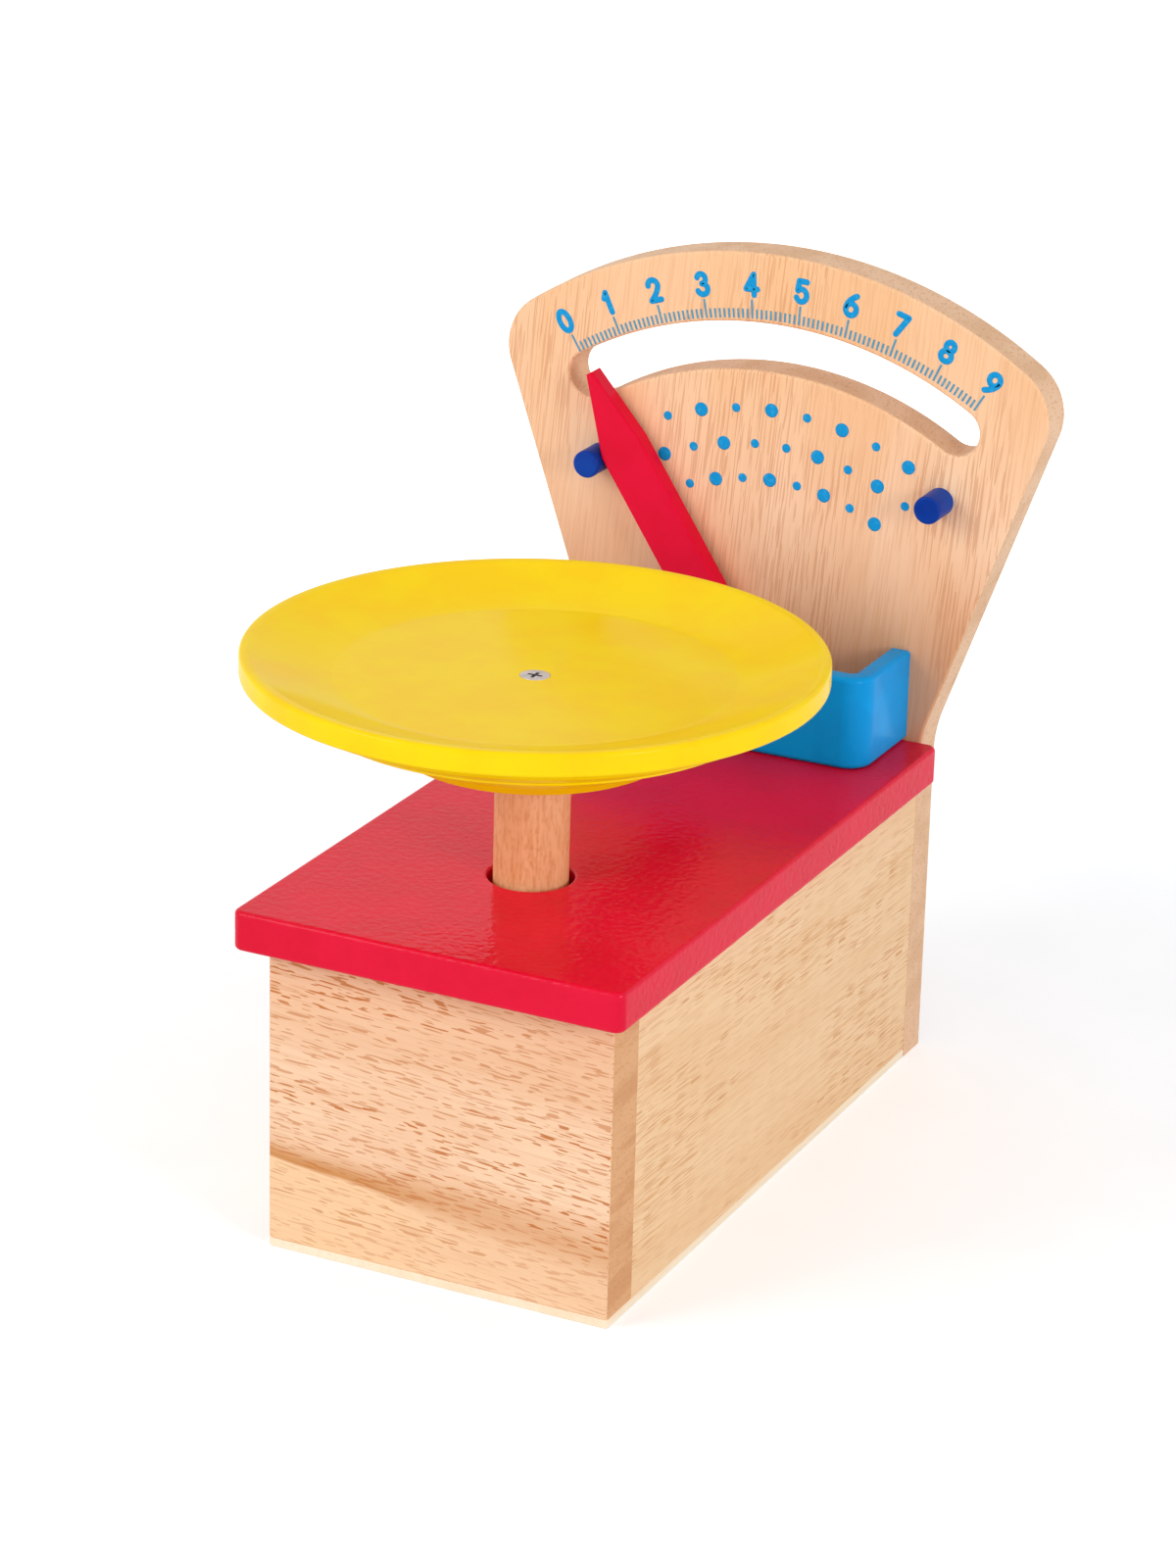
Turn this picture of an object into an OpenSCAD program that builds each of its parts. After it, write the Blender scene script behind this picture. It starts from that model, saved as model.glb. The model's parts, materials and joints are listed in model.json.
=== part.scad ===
// Toy shop scale in wood: a pan on a sprung post tips a lever in the box,
// and a fork on the lever swings the pointer along a fan-shaped dial board.
// Millimetres. X is to the right, Y to the back, Z up.
// The origin is under the middle of the whole scale, on the table.

/* [Box] */
// Width of the box over its two side boards
box_w = 100; // [92:1:120]
// Length of the box from its front face to the back of the dial board
box_l = 208; // [196:1:240]
// Height from the table to the underside of the lid
box_h = 87; // [80:1:110]
// Thickness of the front board
front_t = 14; // [11:0.5:18]
// Thickness of each side board
side_t = 12; // [10:0.5:15]
// Thickness of the base board
base_t = 2.5; // [2.5:0.5:5]
// Rounding of the box's upright front corners
box_corner_r = 1; // [1:0.5:5]

/* [Lid] */
// Thickness of the lid
lid_t = 11; // [9:0.5:14]
// How far the lid stands out past each side board
lid_side_out = 6; // [3:0.5:10]
// How far the lid stands out past the front board
lid_front_out = 9; // [4:0.5:12]
// Rounding of the lid's corners seen from above
lid_corner_r = 3; // [3:0.5:8]
// Rounding of the lid's upper and lower edges
lid_edge_r = 1.25; // [1:0.25:3]
// Distance from the box's front face to the middle of the post
post_y = 51; // [44:1:60]
// Gap round the post in the lid's hole
post_gap = 1.5; // [0.5:0.25:2]

/* [Dial board] */
// Thickness of the dial board
dial_t = 12.5; // [10:0.5:16]
// Radius of the dial board's curved top, struck from the level of the lid's top
dial_r = 135; // [130:1:145]
// Lean of the fan's straight sides from upright, in degrees
fan_lean = 19.3; // [16:0.1:21]
// Rounding of the fan's two upper corners
fan_corner_r = 16.5; // [10:0.5:20]
// Hollow rounding where the fan grows out of the box
fan_foot_r = 40; // [20:1:60]
// Width of the band of wood over the curved slot
band_w = 20.2; // [17:0.1:24]
// Width of the curved slot
slot_w = 13.6; // [10:0.2:14]
// Angle from the middle of the slot to each of its round ends, in degrees
slot_angle = 31.3; // [28:0.1:32]

/* [Stop pegs] */
// Diameter of the stop pegs
peg_d = 8; // [6:0.5:10]
// How far the pegs stand out in front of the dial board
peg_out = 10; // [9.5:0.5:14]
// Depth of the pegs in the dial board
peg_in = 9; // [6:0.5:9]

/* [Pointer] */
// Thickness of the pointer
pointer_t = 6; // [5:0.5:7]
// Width of the pointer
pointer_w = 13.8; // [11:0.2:14.4]
// How far the upright pointer reaches into the slot
tip_in_slot = 8.8; // [4:0.2:10]
// Length of the narrowing tip
tip_l = 23; // [18:0.5:28]
// Width of the blunt end of the tip
tip_w = 2.2; // [1.6:0.2:4]
// How far the tip sits to the right of the pointer's middle line
tip_off = 2.7; // [0:0.1:3]
// Height of the pointer's pivot above the lid
pivot_rise = 9; // [8.5:0.5:12]
// Lean of the pointer to the left when the pan is empty, in degrees
rest_lean = 33.5; // [28:0.5:34]
// Lean of the pointer to the right when the pan is right down, in degrees
full_lean = 32.5; // [28:0.5:34]

/* [Pointer guard] */
// Width of the guard
guard_w = 92; // [80:1:92]
// Height of the guard
guard_h = 27; // [24:1:34]
// Depth of the guard from its front to the dial board
guard_l = 32; // [30:1:40]
// Wall of the guard
guard_t = 6; // [4:0.5:8]
// Rounding of the guard's upright outer corners
guard_corner_r = 7.5; // [4:0.5:12]

/* [Pan] */
// Diameter of the pan
pan_d = 153; // [130:1:160]
// Height of the pan from its foot to the top of its rim
pan_h = 26.5; // [24:0.5:34]
// Height of the pan's foot above the lid when the pan is empty
pan_rise = 36; // [24:0.5:50]
// Diameter of the pan's flat foot
pan_foot_d = 68; // [50:1:80]
// Height of the rim's outer band
rim_h = 6.5; // [6:0.1:9]
// Rounding of the rim
rim_r = 2.4; // [1.5:0.1:2.8]
// Depth of the dish from the top of the rim to its floor
dish_depth = 6.8; // [5:0.2:10]
// Diameter of the flat floor of the dish
floor_d = 104; // [80:1:112]
// Diameter of the post
post_d = 20; // [16:0.5:24]
// Depth of the post in the pan
post_in_pan = 12; // [8:0.5:13]

/* [Lever] */
// How far the pan goes down
pan_travel = 13; // [10:0.5:14]
// Diameter of the disc that keeps the post in the lid
foot_d = 30; // [27:1:36]
// Thickness of that disc
foot_t = 8; // [6:0.5:10]
// Thickness of the lever beam
beam_t = 8; // [6:0.5:9]
// Width of the lever beam
beam_w = 32; // [28:1:36]
// Radius of the beam's rounded nose under the post
nose_r = 7; // [6:0.5:8]
// Diameter of the rod that the beam tips on
axle_d = 5; // [4:0.5:6]
// Thickness of the fork on the beam's rear end
fork_t = 5; // [4:0.5:6]
// Diameter of the pin that the fork moves
pin_d = 4; // [3:0.5:5]
// Diameter of the spring wire
wire_d = 1.4; // [1:0.1:1.8]
// Mean diameter of the spring
coil_d = 18; // [16:0.5:20]
// Number of turns of the spring
coil_turns = 10; // [7:1:12]

/* [Hidden] */

$fn = 96;
// Gap all round a glued or driven-in pin
glue_fit = 0.05;
// Gap all round a part that turns on its pin
turn_fit = 0.08;
// Gap left at the bottom of a blind hole, and between parts that bear on each other at rest
seat_gap = 0.3;
// Overrun of every cut
cut = 1;

// Levels and lines that the parts share
lid_top = box_h + lid_t;
dial_front = box_l - dial_t;
pivot_z = lid_top + pivot_rise;
side_x = box_w / 2 - side_t;
pan_r = pan_d / 2;
pan_z = lid_top + pan_rise;
rim_top = pan_z + pan_h;
floor_z = rim_top - dish_depth;
origin_y = (box_l + post_y - pan_r) / 2;
slot_r = dial_r - band_w - slot_w;
slot_mid_r = slot_r + slot_w / 2;
pointer_l = slot_r + tip_in_slot - pivot_rise;
pointer_shoulder = pointer_l - tip_l;

// Joints of the box
dowel_d = 6;
dowel_in_face = 8;
dowel_in_end = 14;
// Heights of the dowels as shares of the box's height
dowel_z_shares = [0.28, 0.78];
dowel_zs = dowel_z_shares * box_h;
lid_dowel_in_lid = 6;
lid_dowel_in_side = 10;
lid_dowel_inset = 26;
lid_dowel_ys = [front_t + lid_dowel_inset, dial_front - lid_dowel_inset];

// Countersunk screws: shank, head and head depth
base_screw_d = 3;
base_screw_head_d = 6;
base_screw_head_h = 1.6;
base_screw_l = 16;
base_screw_inset = 22;
base_screw_ys = [front_t + base_screw_inset, (front_t + dial_front) / 2, dial_front - base_screw_inset];
pan_screw_d = 4;
pan_screw_head_d = 8;
pan_screw_head_h = 2.6;
pan_screw_l = 28;
foot_screw_d = 4;
foot_screw_head_d = 8;
foot_screw_head_h = 2.6;
foot_screw_l = 24;

// Pan: the turned outside as shares of the way from the foot's edge to the rim's band
side_shares = [[0, 0], [0.05, 0.01], [0.15, 0.17], [0.40, 0.39], [0.62, 0.575], [0.66, 0.61], [0.67, 0.645],
    [0.90, 0.86], [0.955, 0.96], [1, 1]];
// Steps of the curve from the dish's floor up to its rim
dish_steps = 8;
// Bend of that curve: 1 is straight, more is hollower near the floor
dish_bend_share = 1.35;

// Post foot
post_in_foot = 3;
foot_top = box_h - seat_gap;
foot_bottom = foot_top - foot_t;
post_bottom = foot_top - post_in_foot;
post_top = pan_z + post_in_pan;

// Pointer, its pivot and the side arm that carries the drive pin
spacer_t = 1.5;
spacer_d = 12;
hub_share = 1.16;
hub_r = hub_share * pointer_w / 2;
hub_sink_share = 0.4;
arm_r = 5.5;
pointer_back = dial_front - spacer_t;
pointer_front = pointer_back - pointer_t;
pivot_d = 5;
pivot_head_d = 9;
pivot_head_h = 2.5;
pivot_in = 9;
slot_in_head_w = 1.2;
slot_in_head_h = 1;

// A point given across and along the pointer, when the pointer leans to the right by the angle a
function leaned(p, a) = [p[0] * cos(a) + p[1] * sin(a), p[1] * cos(a) - p[0] * sin(a)];

// Stop pegs: each stands just clear of the pointer's edge when it leans that way
peg_gap = 0.14;
// How far past the pointer's shoulder each peg touches it
left_peg_past = 0.6;
right_peg_past = 2.6;
peg_off = peg_d / 2 + peg_gap;
tip_edge = [tip_off + tip_w / 2 - pointer_w / 2, pointer_l - pointer_shoulder];
tip_dir = tip_edge / norm(tip_edge);
left_peg = leaned([-pointer_w / 2 - peg_off, pointer_shoulder + left_peg_past], -rest_lean);
right_peg = leaned([pointer_w / 2, pointer_shoulder] + right_peg_past * tip_dir
    + peg_off * [tip_dir[1], -tip_dir[0]], full_lean);

// Lever: the fork's middle stands this far in front of the pointer
fork_gap = 9;
fork_y = pointer_front - fork_gap;
axle_y = (post_y + fork_y) / 2;
front_arm = axle_y - post_y;
rear_arm = fork_y - axle_y;
beam_tilt = asin(pan_travel / 2 / front_arm);
axle_z = foot_bottom - seat_gap - nose_r - pan_travel / 2;
fork_rise = pivot_z - axle_z;
arm_l = pan_travel * rear_arm / front_arm / (sin(rest_lean) + sin(full_lean));
beam_x = -5;
beam_tail = 4;
boss_r = 8;
axle_in = 8;
sleeve_wall = 2.2;
pin_slack = 0.8;
prong_t = 4;
fork_back_t = 3.2;
fork_left = -(arm_l + pin_d / 2 + pin_slack + fork_back_t);
fork_right = -(arm_l * cos(rest_lean) - pin_d / 2 - cut);
pin_back_skin = 0.5;
pin_reach = 15;

// Notch in the lid that the fork upright and the side arm move in
notch_slack = 1.6;
notch_left = fork_left - notch_slack;
// Where the side arm's lower edge passes the lid's top when the pan is empty
arm_exit_x = arm_r * sin(rest_lean) - (pivot_rise - arm_r * cos(rest_lean)) / tan(rest_lean);
notch_right = max(arm_exit_x, fork_right) + notch_slack / 2;
notch_front = fork_y - (lid_top - axle_z) * sin(beam_tilt) - fork_t / 2 - notch_slack;

// Spring and its seat
seat_flange_d = 26;
seat_flange_t = 3;
seat_stub_d = 14;
seat_stub_l = 12;
spring_bottom = base_t + seat_flange_t;
spring_top = axle_z + pan_travel / 2 - nose_r - seat_gap / 3;
rings_per_turn = 8;
wire_sides = 6;
end_gap = 0.6;
end_turns = 1;

// Colours
pale_wood = "burlywood";
panel_wood = "wheat";
dowel_wood = "peru";
red = "crimson";
yellow = "gold";
sky_blue = "dodgerblue";
dark_blue = "midnightblue";
steel = "silver";

// Moves a part drawn from the box's front face to the common origin
module placed() {
    translate([0, -origin_y, 0]) children();
}

// A rectangle whose two front corners are round; its front edge lies on y = 0
module tab(w, l, r) {
    translate([-w / 2, r]) square([w, l - r]);
    translate([-w / 2 + r, 0]) square([w - 2 * r, l]);
    for (s = [-1, 1]) translate([s * (w / 2 - r), r]) circle(r);
}

// Stands a flat outline up, so that its Y becomes Z, with its back face on the plane y
module upright(y, t) {
    translate([0, y, 0]) rotate([90, 0, 0]) linear_extrude(t) children();
}

// A rod along Y from y0 to y1
module rod_y(x, z, y0, y1, d) {
    translate([x, y1, z]) rotate([90, 0, 0]) cylinder(h = y1 - y0, d = d);
}

// A rod along X from x0 to x1
module rod_x(x0, x1, y, z, d) {
    translate([x0, y, z]) rotate([0, 90, 0]) cylinder(h = x1 - x0, d = d);
}

// A countersunk screw with its head's face on z = 0, pointing down; grow widens it into its hole
module countersunk(d, head_d, head_h, l, grow = 0) {
    translate([0, 0, -l]) cylinder(h = l, d = d + 2 * grow);
    translate([0, 0, -head_h]) cylinder(h = head_h, d1 = d + 2 * grow, d2 = head_d + 2 * grow);
}

// The cross recess of a screw head, sunk in the face on z = 0
module cross_recess(head_d, head_h) {
    for (a = [0, 90]) rotate([0, 0, a])
        translate([-head_d / 4, -head_d / 16, -head_h / 2]) cube([head_d / 2, head_d / 8, head_h]);
}

// Places that the box's joints share
module frame_dowel_set(grow, end_gap_y) {
    for (s = [-1, 1], z = dowel_zs) {
        rod_y(s * (box_w - side_t) / 2, z, front_t - dowel_in_face - end_gap_y,
            front_t + dowel_in_end + end_gap_y, dowel_d + 2 * grow);
        rod_y(s * (box_w - side_t) / 2, z, dial_front - dowel_in_end - end_gap_y,
            dial_front + dowel_in_face + end_gap_y, dowel_d + 2 * grow);
    }
}

module lid_dowel_set(grow, end_gap_z) {
    for (s = [-1, 1], y = lid_dowel_ys)
        translate([s * (box_w - side_t) / 2, y, box_h - lid_dowel_in_side - end_gap_z])
            cylinder(h = lid_dowel_in_side + lid_dowel_in_lid + 2 * end_gap_z, d = dowel_d + 2 * grow);
}

module base_screw_set(grow, longer) {
    for (s = [-1, 1], y = base_screw_ys)
        translate([s * (box_w - side_t) / 2, y, 0]) mirror([0, 0, 1])
            countersunk(base_screw_d, base_screw_head_d, base_screw_head_h, base_screw_l + longer, grow);
}

module axle_rod(grow, longer) {
    rod_x(-side_x - axle_in - longer, side_x + axle_in + longer, axle_y, axle_z, axle_d + 2 * grow);
}

module base_board() {
    color(pale_wood) placed() difference() {
        linear_extrude(base_t) tab(box_w, dial_front, box_corner_r);
        base_screw_set(glue_fit, seat_gap);
    }
}

module base_screws() {
    color(steel) placed() difference() {
        base_screw_set(0, 0);
        for (s = [-1, 1], y = base_screw_ys)
            translate([s * (box_w - side_t) / 2, y, 0]) mirror([0, 0, 1])
                cross_recess(base_screw_head_d, base_screw_head_h);
    }
}

module front_board() {
    color(pale_wood) placed() difference() {
        translate([0, 0, base_t]) linear_extrude(box_h - base_t) tab(box_w, front_t, box_corner_r);
        frame_dowel_set(glue_fit, seat_gap);
    }
}

module side_board(s) {
    color(pale_wood) placed() difference() {
        translate([s * (box_w - side_t) / 2 - side_t / 2, front_t, base_t])
            cube([side_t, dial_front - front_t, box_h - base_t]);
        frame_dowel_set(glue_fit, seat_gap);
        lid_dowel_set(glue_fit, seat_gap);
        base_screw_set(glue_fit, seat_gap);
        axle_rod(glue_fit, seat_gap);
    }
}

module left_side_board() {
    side_board(-1);
}

module right_side_board() {
    side_board(1);
}

// Steps in degrees of the outlines' wide arcs, of the fan's corners and of the slot's ends
fine_step = 1.5;
corner_step = 3;
end_step = 7.5;
// Middle of the fan's rounded corner, and the angle where that rounding meets the curved top
corner_a = fan_lean + asin((box_w / 2 * cos(fan_lean) - fan_corner_r) / (dial_r - fan_corner_r));
corner_mid = [(dial_r - fan_corner_r) * sin(corner_a), lid_top + (dial_r - fan_corner_r) * cos(corner_a)];
// Middle of the hollow rounding at the fan's foot, level with the rounding's lower end
fan_foot_mid = [box_w / 2 + fan_foot_r, lid_top - fan_foot_r * tan(fan_lean / 2)];

// Points on an arc round c, at angles counted clockwise from upright
function arc(c, r, a0, a1, step) = let (n = ceil(abs(a1 - a0) / step))
    [for (i = [0 : n]) let (a = a0 + (a1 - a0) * i / n) c + r * [sin(a), cos(a)]];
// A row of points without its ends, and a row mirrored to the left and turned round
function inner(points, first = 1) = [for (i = [first : len(points) - 2]) points[i]];
function mirrored(points) = [for (i = [len(points) - 1 : -1 : 0]) [-points[i][0], points[i][1]]];

// Outline of the dial board: box-wide below, a fan with a struck top above
module dial_outline() {
    right = concat([[box_w / 2, 0]],
        arc(fan_foot_mid, fan_foot_r, -90, fan_lean - 90, fine_step),
        inner(arc(corner_mid, fan_corner_r, fan_lean + 90, corner_a, corner_step), 0),
        inner(arc([0, lid_top], dial_r, corner_a, 0, fine_step), 0));
    polygon(concat(right, [[0, lid_top + dial_r]], mirrored(right)));
}

// The curved slot, struck from the same level as the dial board's top
module dial_slot() {
    end = slot_mid_r * [sin(slot_angle), cos(slot_angle)];
    polygon(concat(
        arc([0, lid_top], slot_r + slot_w, -slot_angle, slot_angle, fine_step),
        inner(arc([end[0], lid_top + end[1]], slot_w / 2, slot_angle, slot_angle + 180, end_step)),
        arc([0, lid_top], slot_r, slot_angle, -slot_angle, fine_step),
        inner(arc([-end[0], lid_top + end[1]], slot_w / 2, 180 - slot_angle, 360 - slot_angle, end_step))));
}

module dial_board() {
    color(panel_wood) placed() difference() {
        upright(box_l, dial_t) difference() {
            dial_outline();
            dial_slot();
        }
        frame_dowel_set(glue_fit, seat_gap);
        stop_peg_rod(left_peg, glue_fit, seat_gap);
        stop_peg_rod(right_peg, glue_fit, seat_gap);
        rod_y(0, pivot_z, dial_front - cut, dial_front + pivot_in + seat_gap, pivot_d + 2 * glue_fit);
    }
}

module frame_dowels() {
    color(dowel_wood) placed() frame_dowel_set(0, 0);
}

// A lid corner: a disc with round upper and lower edges
module lid_corner() {
    rotate_extrude($fn = 32) {
        square([lid_corner_r - lid_edge_r, lid_t]);
        translate([0, lid_edge_r]) square([lid_corner_r, lid_t - 2 * lid_edge_r]);
        for (z = [lid_edge_r, lid_t - lid_edge_r])
            intersection() {
                translate([lid_corner_r - lid_edge_r, z]) circle(lid_edge_r, $fn = 32);
                square([lid_corner_r, lid_t]);
            }
    }
}

module lid() {
    color(red) placed() difference() {
        translate([0, 0, box_h]) hull()
            for (s = [-1, 1], y = [-lid_front_out + lid_corner_r, dial_front - lid_corner_r])
                translate([s * (box_w / 2 + lid_side_out - lid_corner_r), y, 0]) lid_corner();
        translate([0, post_y, box_h - cut]) cylinder(h = lid_t + 2 * cut, d = post_d + 2 * post_gap);
        translate([notch_left, notch_front, box_h - cut])
            cube([notch_right - notch_left, dial_front - notch_front + cut, lid_t + 2 * cut]);
        lid_dowel_set(glue_fit, seat_gap);
    }
}

module lid_dowels() {
    color(dowel_wood) placed() lid_dowel_set(0, 0);
}

module pointer_guard() {
    color(sky_blue) placed() translate([0, dial_front - guard_l, lid_top]) linear_extrude(guard_h)
        difference() {
            tab(guard_w, guard_l, guard_corner_r);
            translate([0, guard_t])
                tab(guard_w - 2 * guard_t, guard_l, max(guard_corner_r - guard_t, guard_t / 4));
        }
}

// A stop peg at the place p, measured from the pointer's pivot
module stop_peg_rod(p, grow, longer) {
    rod_y(p[0], pivot_z + p[1], dial_front - peg_out, dial_front + peg_in + longer, peg_d + 2 * grow);
}

module left_stop_peg() {
    color(dark_blue) placed() stop_peg_rod(left_peg, 0, 0);
}

module right_stop_peg() {
    color(dark_blue) placed() stop_peg_rod(right_peg, 0, 0);
}

// Half section of the pan, foot down on y = 0
module pan_section() {
    side_r = pan_r - rim_r;
    side_h = pan_h - rim_h;
    foot_r = pan_foot_d / 2;
    outside = [for (p = side_shares) [foot_r + p[0] * (side_r - foot_r), p[1] * side_h]];
    inside = [for (i = [0 : dish_steps]) let (u = 1 - i / dish_steps)
        [floor_d / 2 + u * (side_r - floor_d / 2), pan_h - dish_depth + dish_depth * pow(u, dish_bend_share)]];
    polygon(concat([[0, 0]], outside, inside, [[0, pan_h - dish_depth]]));
    translate([side_r, side_h + rim_r]) square([rim_r, rim_h - 2 * rim_r]);
    for (y = [side_h + rim_r, pan_h - rim_r]) translate([side_r, y]) intersection() {
        circle(rim_r, $fn = 48);
        translate([0, -rim_r]) square([rim_r, 2 * rim_r]);
    }
}

module pan() {
    color(yellow) placed() translate([0, post_y, 0]) difference() {
        translate([0, 0, pan_z]) rotate_extrude($fn = 160) pan_section();
        translate([0, 0, pan_z - cut])
            cylinder(h = post_in_pan + cut, d = post_d + 2 * glue_fit);
        translate([0, 0, floor_z])
            countersunk(pan_screw_d, pan_screw_head_d, pan_screw_head_h, pan_screw_l, glue_fit);
    }
}

module pan_screw() {
    color(steel) placed() translate([0, post_y, floor_z]) difference() {
        countersunk(pan_screw_d, pan_screw_head_d, pan_screw_head_h, pan_screw_l);
        cross_recess(pan_screw_head_d, pan_screw_head_h);
    }
}

module pan_post() {
    color(dowel_wood) placed() translate([0, post_y, 0]) difference() {
        translate([0, 0, post_bottom]) cylinder(h = post_top - post_bottom, d = post_d);
        translate([0, 0, floor_z]) countersunk(pan_screw_d, pan_screw_head_d, pan_screw_head_h,
            pan_screw_l + seat_gap, glue_fit);
        translate([0, 0, foot_bottom]) mirror([0, 0, 1]) countersunk(foot_screw_d, foot_screw_head_d,
            foot_screw_head_h, foot_screw_l + seat_gap, glue_fit);
    }
}

module post_foot() {
    color(dowel_wood) placed() translate([0, post_y, 0]) difference() {
        translate([0, 0, foot_bottom]) cylinder(h = foot_t, d = foot_d);
        translate([0, 0, post_bottom]) cylinder(h = post_in_foot + cut, d = post_d + 2 * glue_fit);
        translate([0, 0, foot_bottom]) mirror([0, 0, 1])
            countersunk(foot_screw_d, foot_screw_head_d, foot_screw_head_h, foot_screw_l, glue_fit);
    }
}

module foot_screw() {
    color(steel) placed() translate([0, post_y, foot_bottom]) mirror([0, 0, 1]) difference() {
        countersunk(foot_screw_d, foot_screw_head_d, foot_screw_head_h, foot_screw_l);
        cross_recess(foot_screw_head_d, foot_screw_head_h);
    }
}

// Height share of the spring's middle line after t turns: closer turns at both ends
coil_h = spring_top - spring_bottom - wire_d;
end_pitch = wire_d + end_gap;
mid_pitch = (coil_h - 2 * end_turns * end_pitch) / (coil_turns - 2 * end_turns);
function coil_z(t) = t < end_turns ? t * end_pitch
    : t > coil_turns - end_turns ? coil_h - (coil_turns - t) * end_pitch
    : end_turns * end_pitch + (t - end_turns) * mid_pitch;
coil_rings = coil_turns * rings_per_turn;
coil_mids = [for (i = [0 : coil_rings]) let (t = i / rings_per_turn)
    [coil_d / 2 * cos(360 * t), coil_d / 2 * sin(360 * t), spring_bottom + wire_d / 2 + coil_z(t)]];
// Least gap between neighbouring turns, measured on the rings
coil_gaps = [for (i = [0 : coil_rings - rings_per_turn]) norm(coil_mids[i + rings_per_turn] - coil_mids[i]) - wire_d];
echo(least_gap_between_turns = min(coil_gaps));

module return_spring() {
    points = [for (i = [0 : coil_rings], k = [0 : wire_sides - 1])
        let (t = 360 * i / rings_per_turn, a = 360 * k / wire_sides)
        coil_mids[i] + wire_d / 2 * [cos(a) * cos(t), cos(a) * sin(t), sin(a)]];
    wall = [for (i = [0 : coil_rings - 1], k = [0 : wire_sides - 1], half = [0, 1])
        let (k2 = (k + 1) % wire_sides, a = i * wire_sides, b = a + wire_sides)
        half == 0 ? [a + k, b + k, b + k2] : [a + k, b + k2, a + k2]];
    last = coil_rings * wire_sides;
    ends = [for (k = [1 : wire_sides - 2], half = [0, 1])
        half == 0 ? [0, k, k + 1] : [last, last + k + 1, last + k]];
    color(steel) placed() translate([0, post_y, 0]) polyhedron(points, concat(wall, ends));
}

module spring_seat() {
    color(dowel_wood) placed() translate([0, post_y, base_t]) {
        cylinder(h = seat_flange_t, d = seat_flange_d);
        cylinder(h = seat_flange_t + seat_stub_l, d = seat_stub_d);
    }
}

// Draws a part of the lever in its level position and tips it to where the empty pan leaves it
module tipped() {
    placed() translate([0, axle_y, axle_z]) rotate([-beam_tilt, 0, 0]) children();
}

// Side view of the beam round its axle: Y to the back, Z up
module beam_side() {
    translate([-front_arm, -beam_t / 2]) square([front_arm + rear_arm + fork_t / 2 + beam_tail, beam_t]);
    translate([-front_arm, 0]) circle(nose_r);
    circle(boss_r);
}

module rocker_beam() {
    color(pale_wood) tipped() difference() {
        translate([beam_x - beam_w / 2, 0, 0]) rotate([90, 0, 90]) linear_extrude(beam_w) beam_side();
        rod_x(beam_x - beam_w / 2 - cut, beam_x + beam_w / 2 + cut, 0, 0, axle_d + 2 * turn_fit);
        translate([fork_left - glue_fit, rear_arm - fork_t / 2 - glue_fit, -beam_t / 2 - cut])
            cube([fork_right - fork_left + 2 * glue_fit, fork_t + 2 * glue_fit, beam_t + 2 * cut]);
    }
}

module rocker_axle() {
    color(steel) placed() axle_rod(0, 0);
}

// A sleeve on the axle from x0 to x1 that keeps the beam in place
module axle_sleeve(x0, x1) {
    color(panel_wood) placed() difference() {
        rod_x(x0, x1, axle_y, axle_z, axle_d + 2 * sleeve_wall);
        rod_x(x0 - cut, x1 + cut, axle_y, axle_z, axle_d + 2 * glue_fit);
    }
}

module left_axle_sleeve() {
    axle_sleeve(-side_x, beam_x - beam_w / 2 - seat_gap);
}

module right_axle_sleeve() {
    axle_sleeve(beam_x + beam_w / 2 + seat_gap, side_x);
}

// Upright with a fork, open to the right, round the drive pin
module fork_upright() {
    slot_h = pin_d + 2 * pin_slack;
    top = fork_rise + slot_h / 2 + prong_t;
    color(pale_wood) tipped() translate([0, rear_arm + fork_t / 2, 0]) rotate([90, 0, 0])
        linear_extrude(fork_t) difference() {
            translate([fork_left, -beam_t / 2]) square([fork_right - fork_left, top + beam_t / 2]);
            translate([fork_left + fork_back_t + slot_h / 2, fork_rise]) circle(d = slot_h);
            translate([fork_left + fork_back_t + slot_h / 2, fork_rise - slot_h / 2])
                square([fork_right - fork_left, slot_h]);
        }
}

// Draws a part of the pointer upright round its pivot and leans it to where the empty pan leaves it
module leaning() {
    placed() translate([0, 0, pivot_z]) rotate([0, -rest_lean, 0]) children();
}

module pointer_blade() {
    half = pointer_w / 2;
    foot = -half * hub_sink_share;
    polygon([[-half, foot], [-half, pointer_shoulder], [tip_off - tip_w / 2, pointer_l],
        [tip_off + tip_w / 2, pointer_l], [half, pointer_shoulder], [half, foot]]);
}

module pointer_hub() {
    circle(hub_r);
    translate([-arm_l, -arm_r]) square([arm_l, 2 * arm_r]);
    translate([-arm_l, 0]) circle(arm_r);
}

module pointer() {
    color(red) leaning() difference() {
        union() {
            upright(pointer_back, pointer_t) pointer_blade();
            upright(pointer_back, pointer_t) pointer_hub();
        }
        rod_y(0, 0, pointer_front - cut, pointer_back + cut, pivot_d + 2 * turn_fit);
        rod_y(-arm_l, 0, pointer_front - cut, pointer_back - pin_back_skin, pin_d + 2 * glue_fit);
    }
}

module drive_pin() {
    color(steel) leaning() rod_y(-arm_l, 0, pointer_front - pin_reach, pointer_back - pin_back_skin - seat_gap, pin_d);
}

module pivot_screw() {
    head_back = pointer_front - seat_gap;
    color(steel) placed() difference() {
        union() {
            rod_y(0, pivot_z, head_back, dial_front + pivot_in, pivot_d);
            rod_y(0, pivot_z, head_back - pivot_head_h, head_back, pivot_head_d);
        }
        translate([-pivot_head_d / 2 - cut, head_back - pivot_head_h - cut, pivot_z - slot_in_head_w / 2])
            cube([pivot_head_d + 2 * cut, slot_in_head_h + cut, slot_in_head_w]);
    }
}

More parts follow.
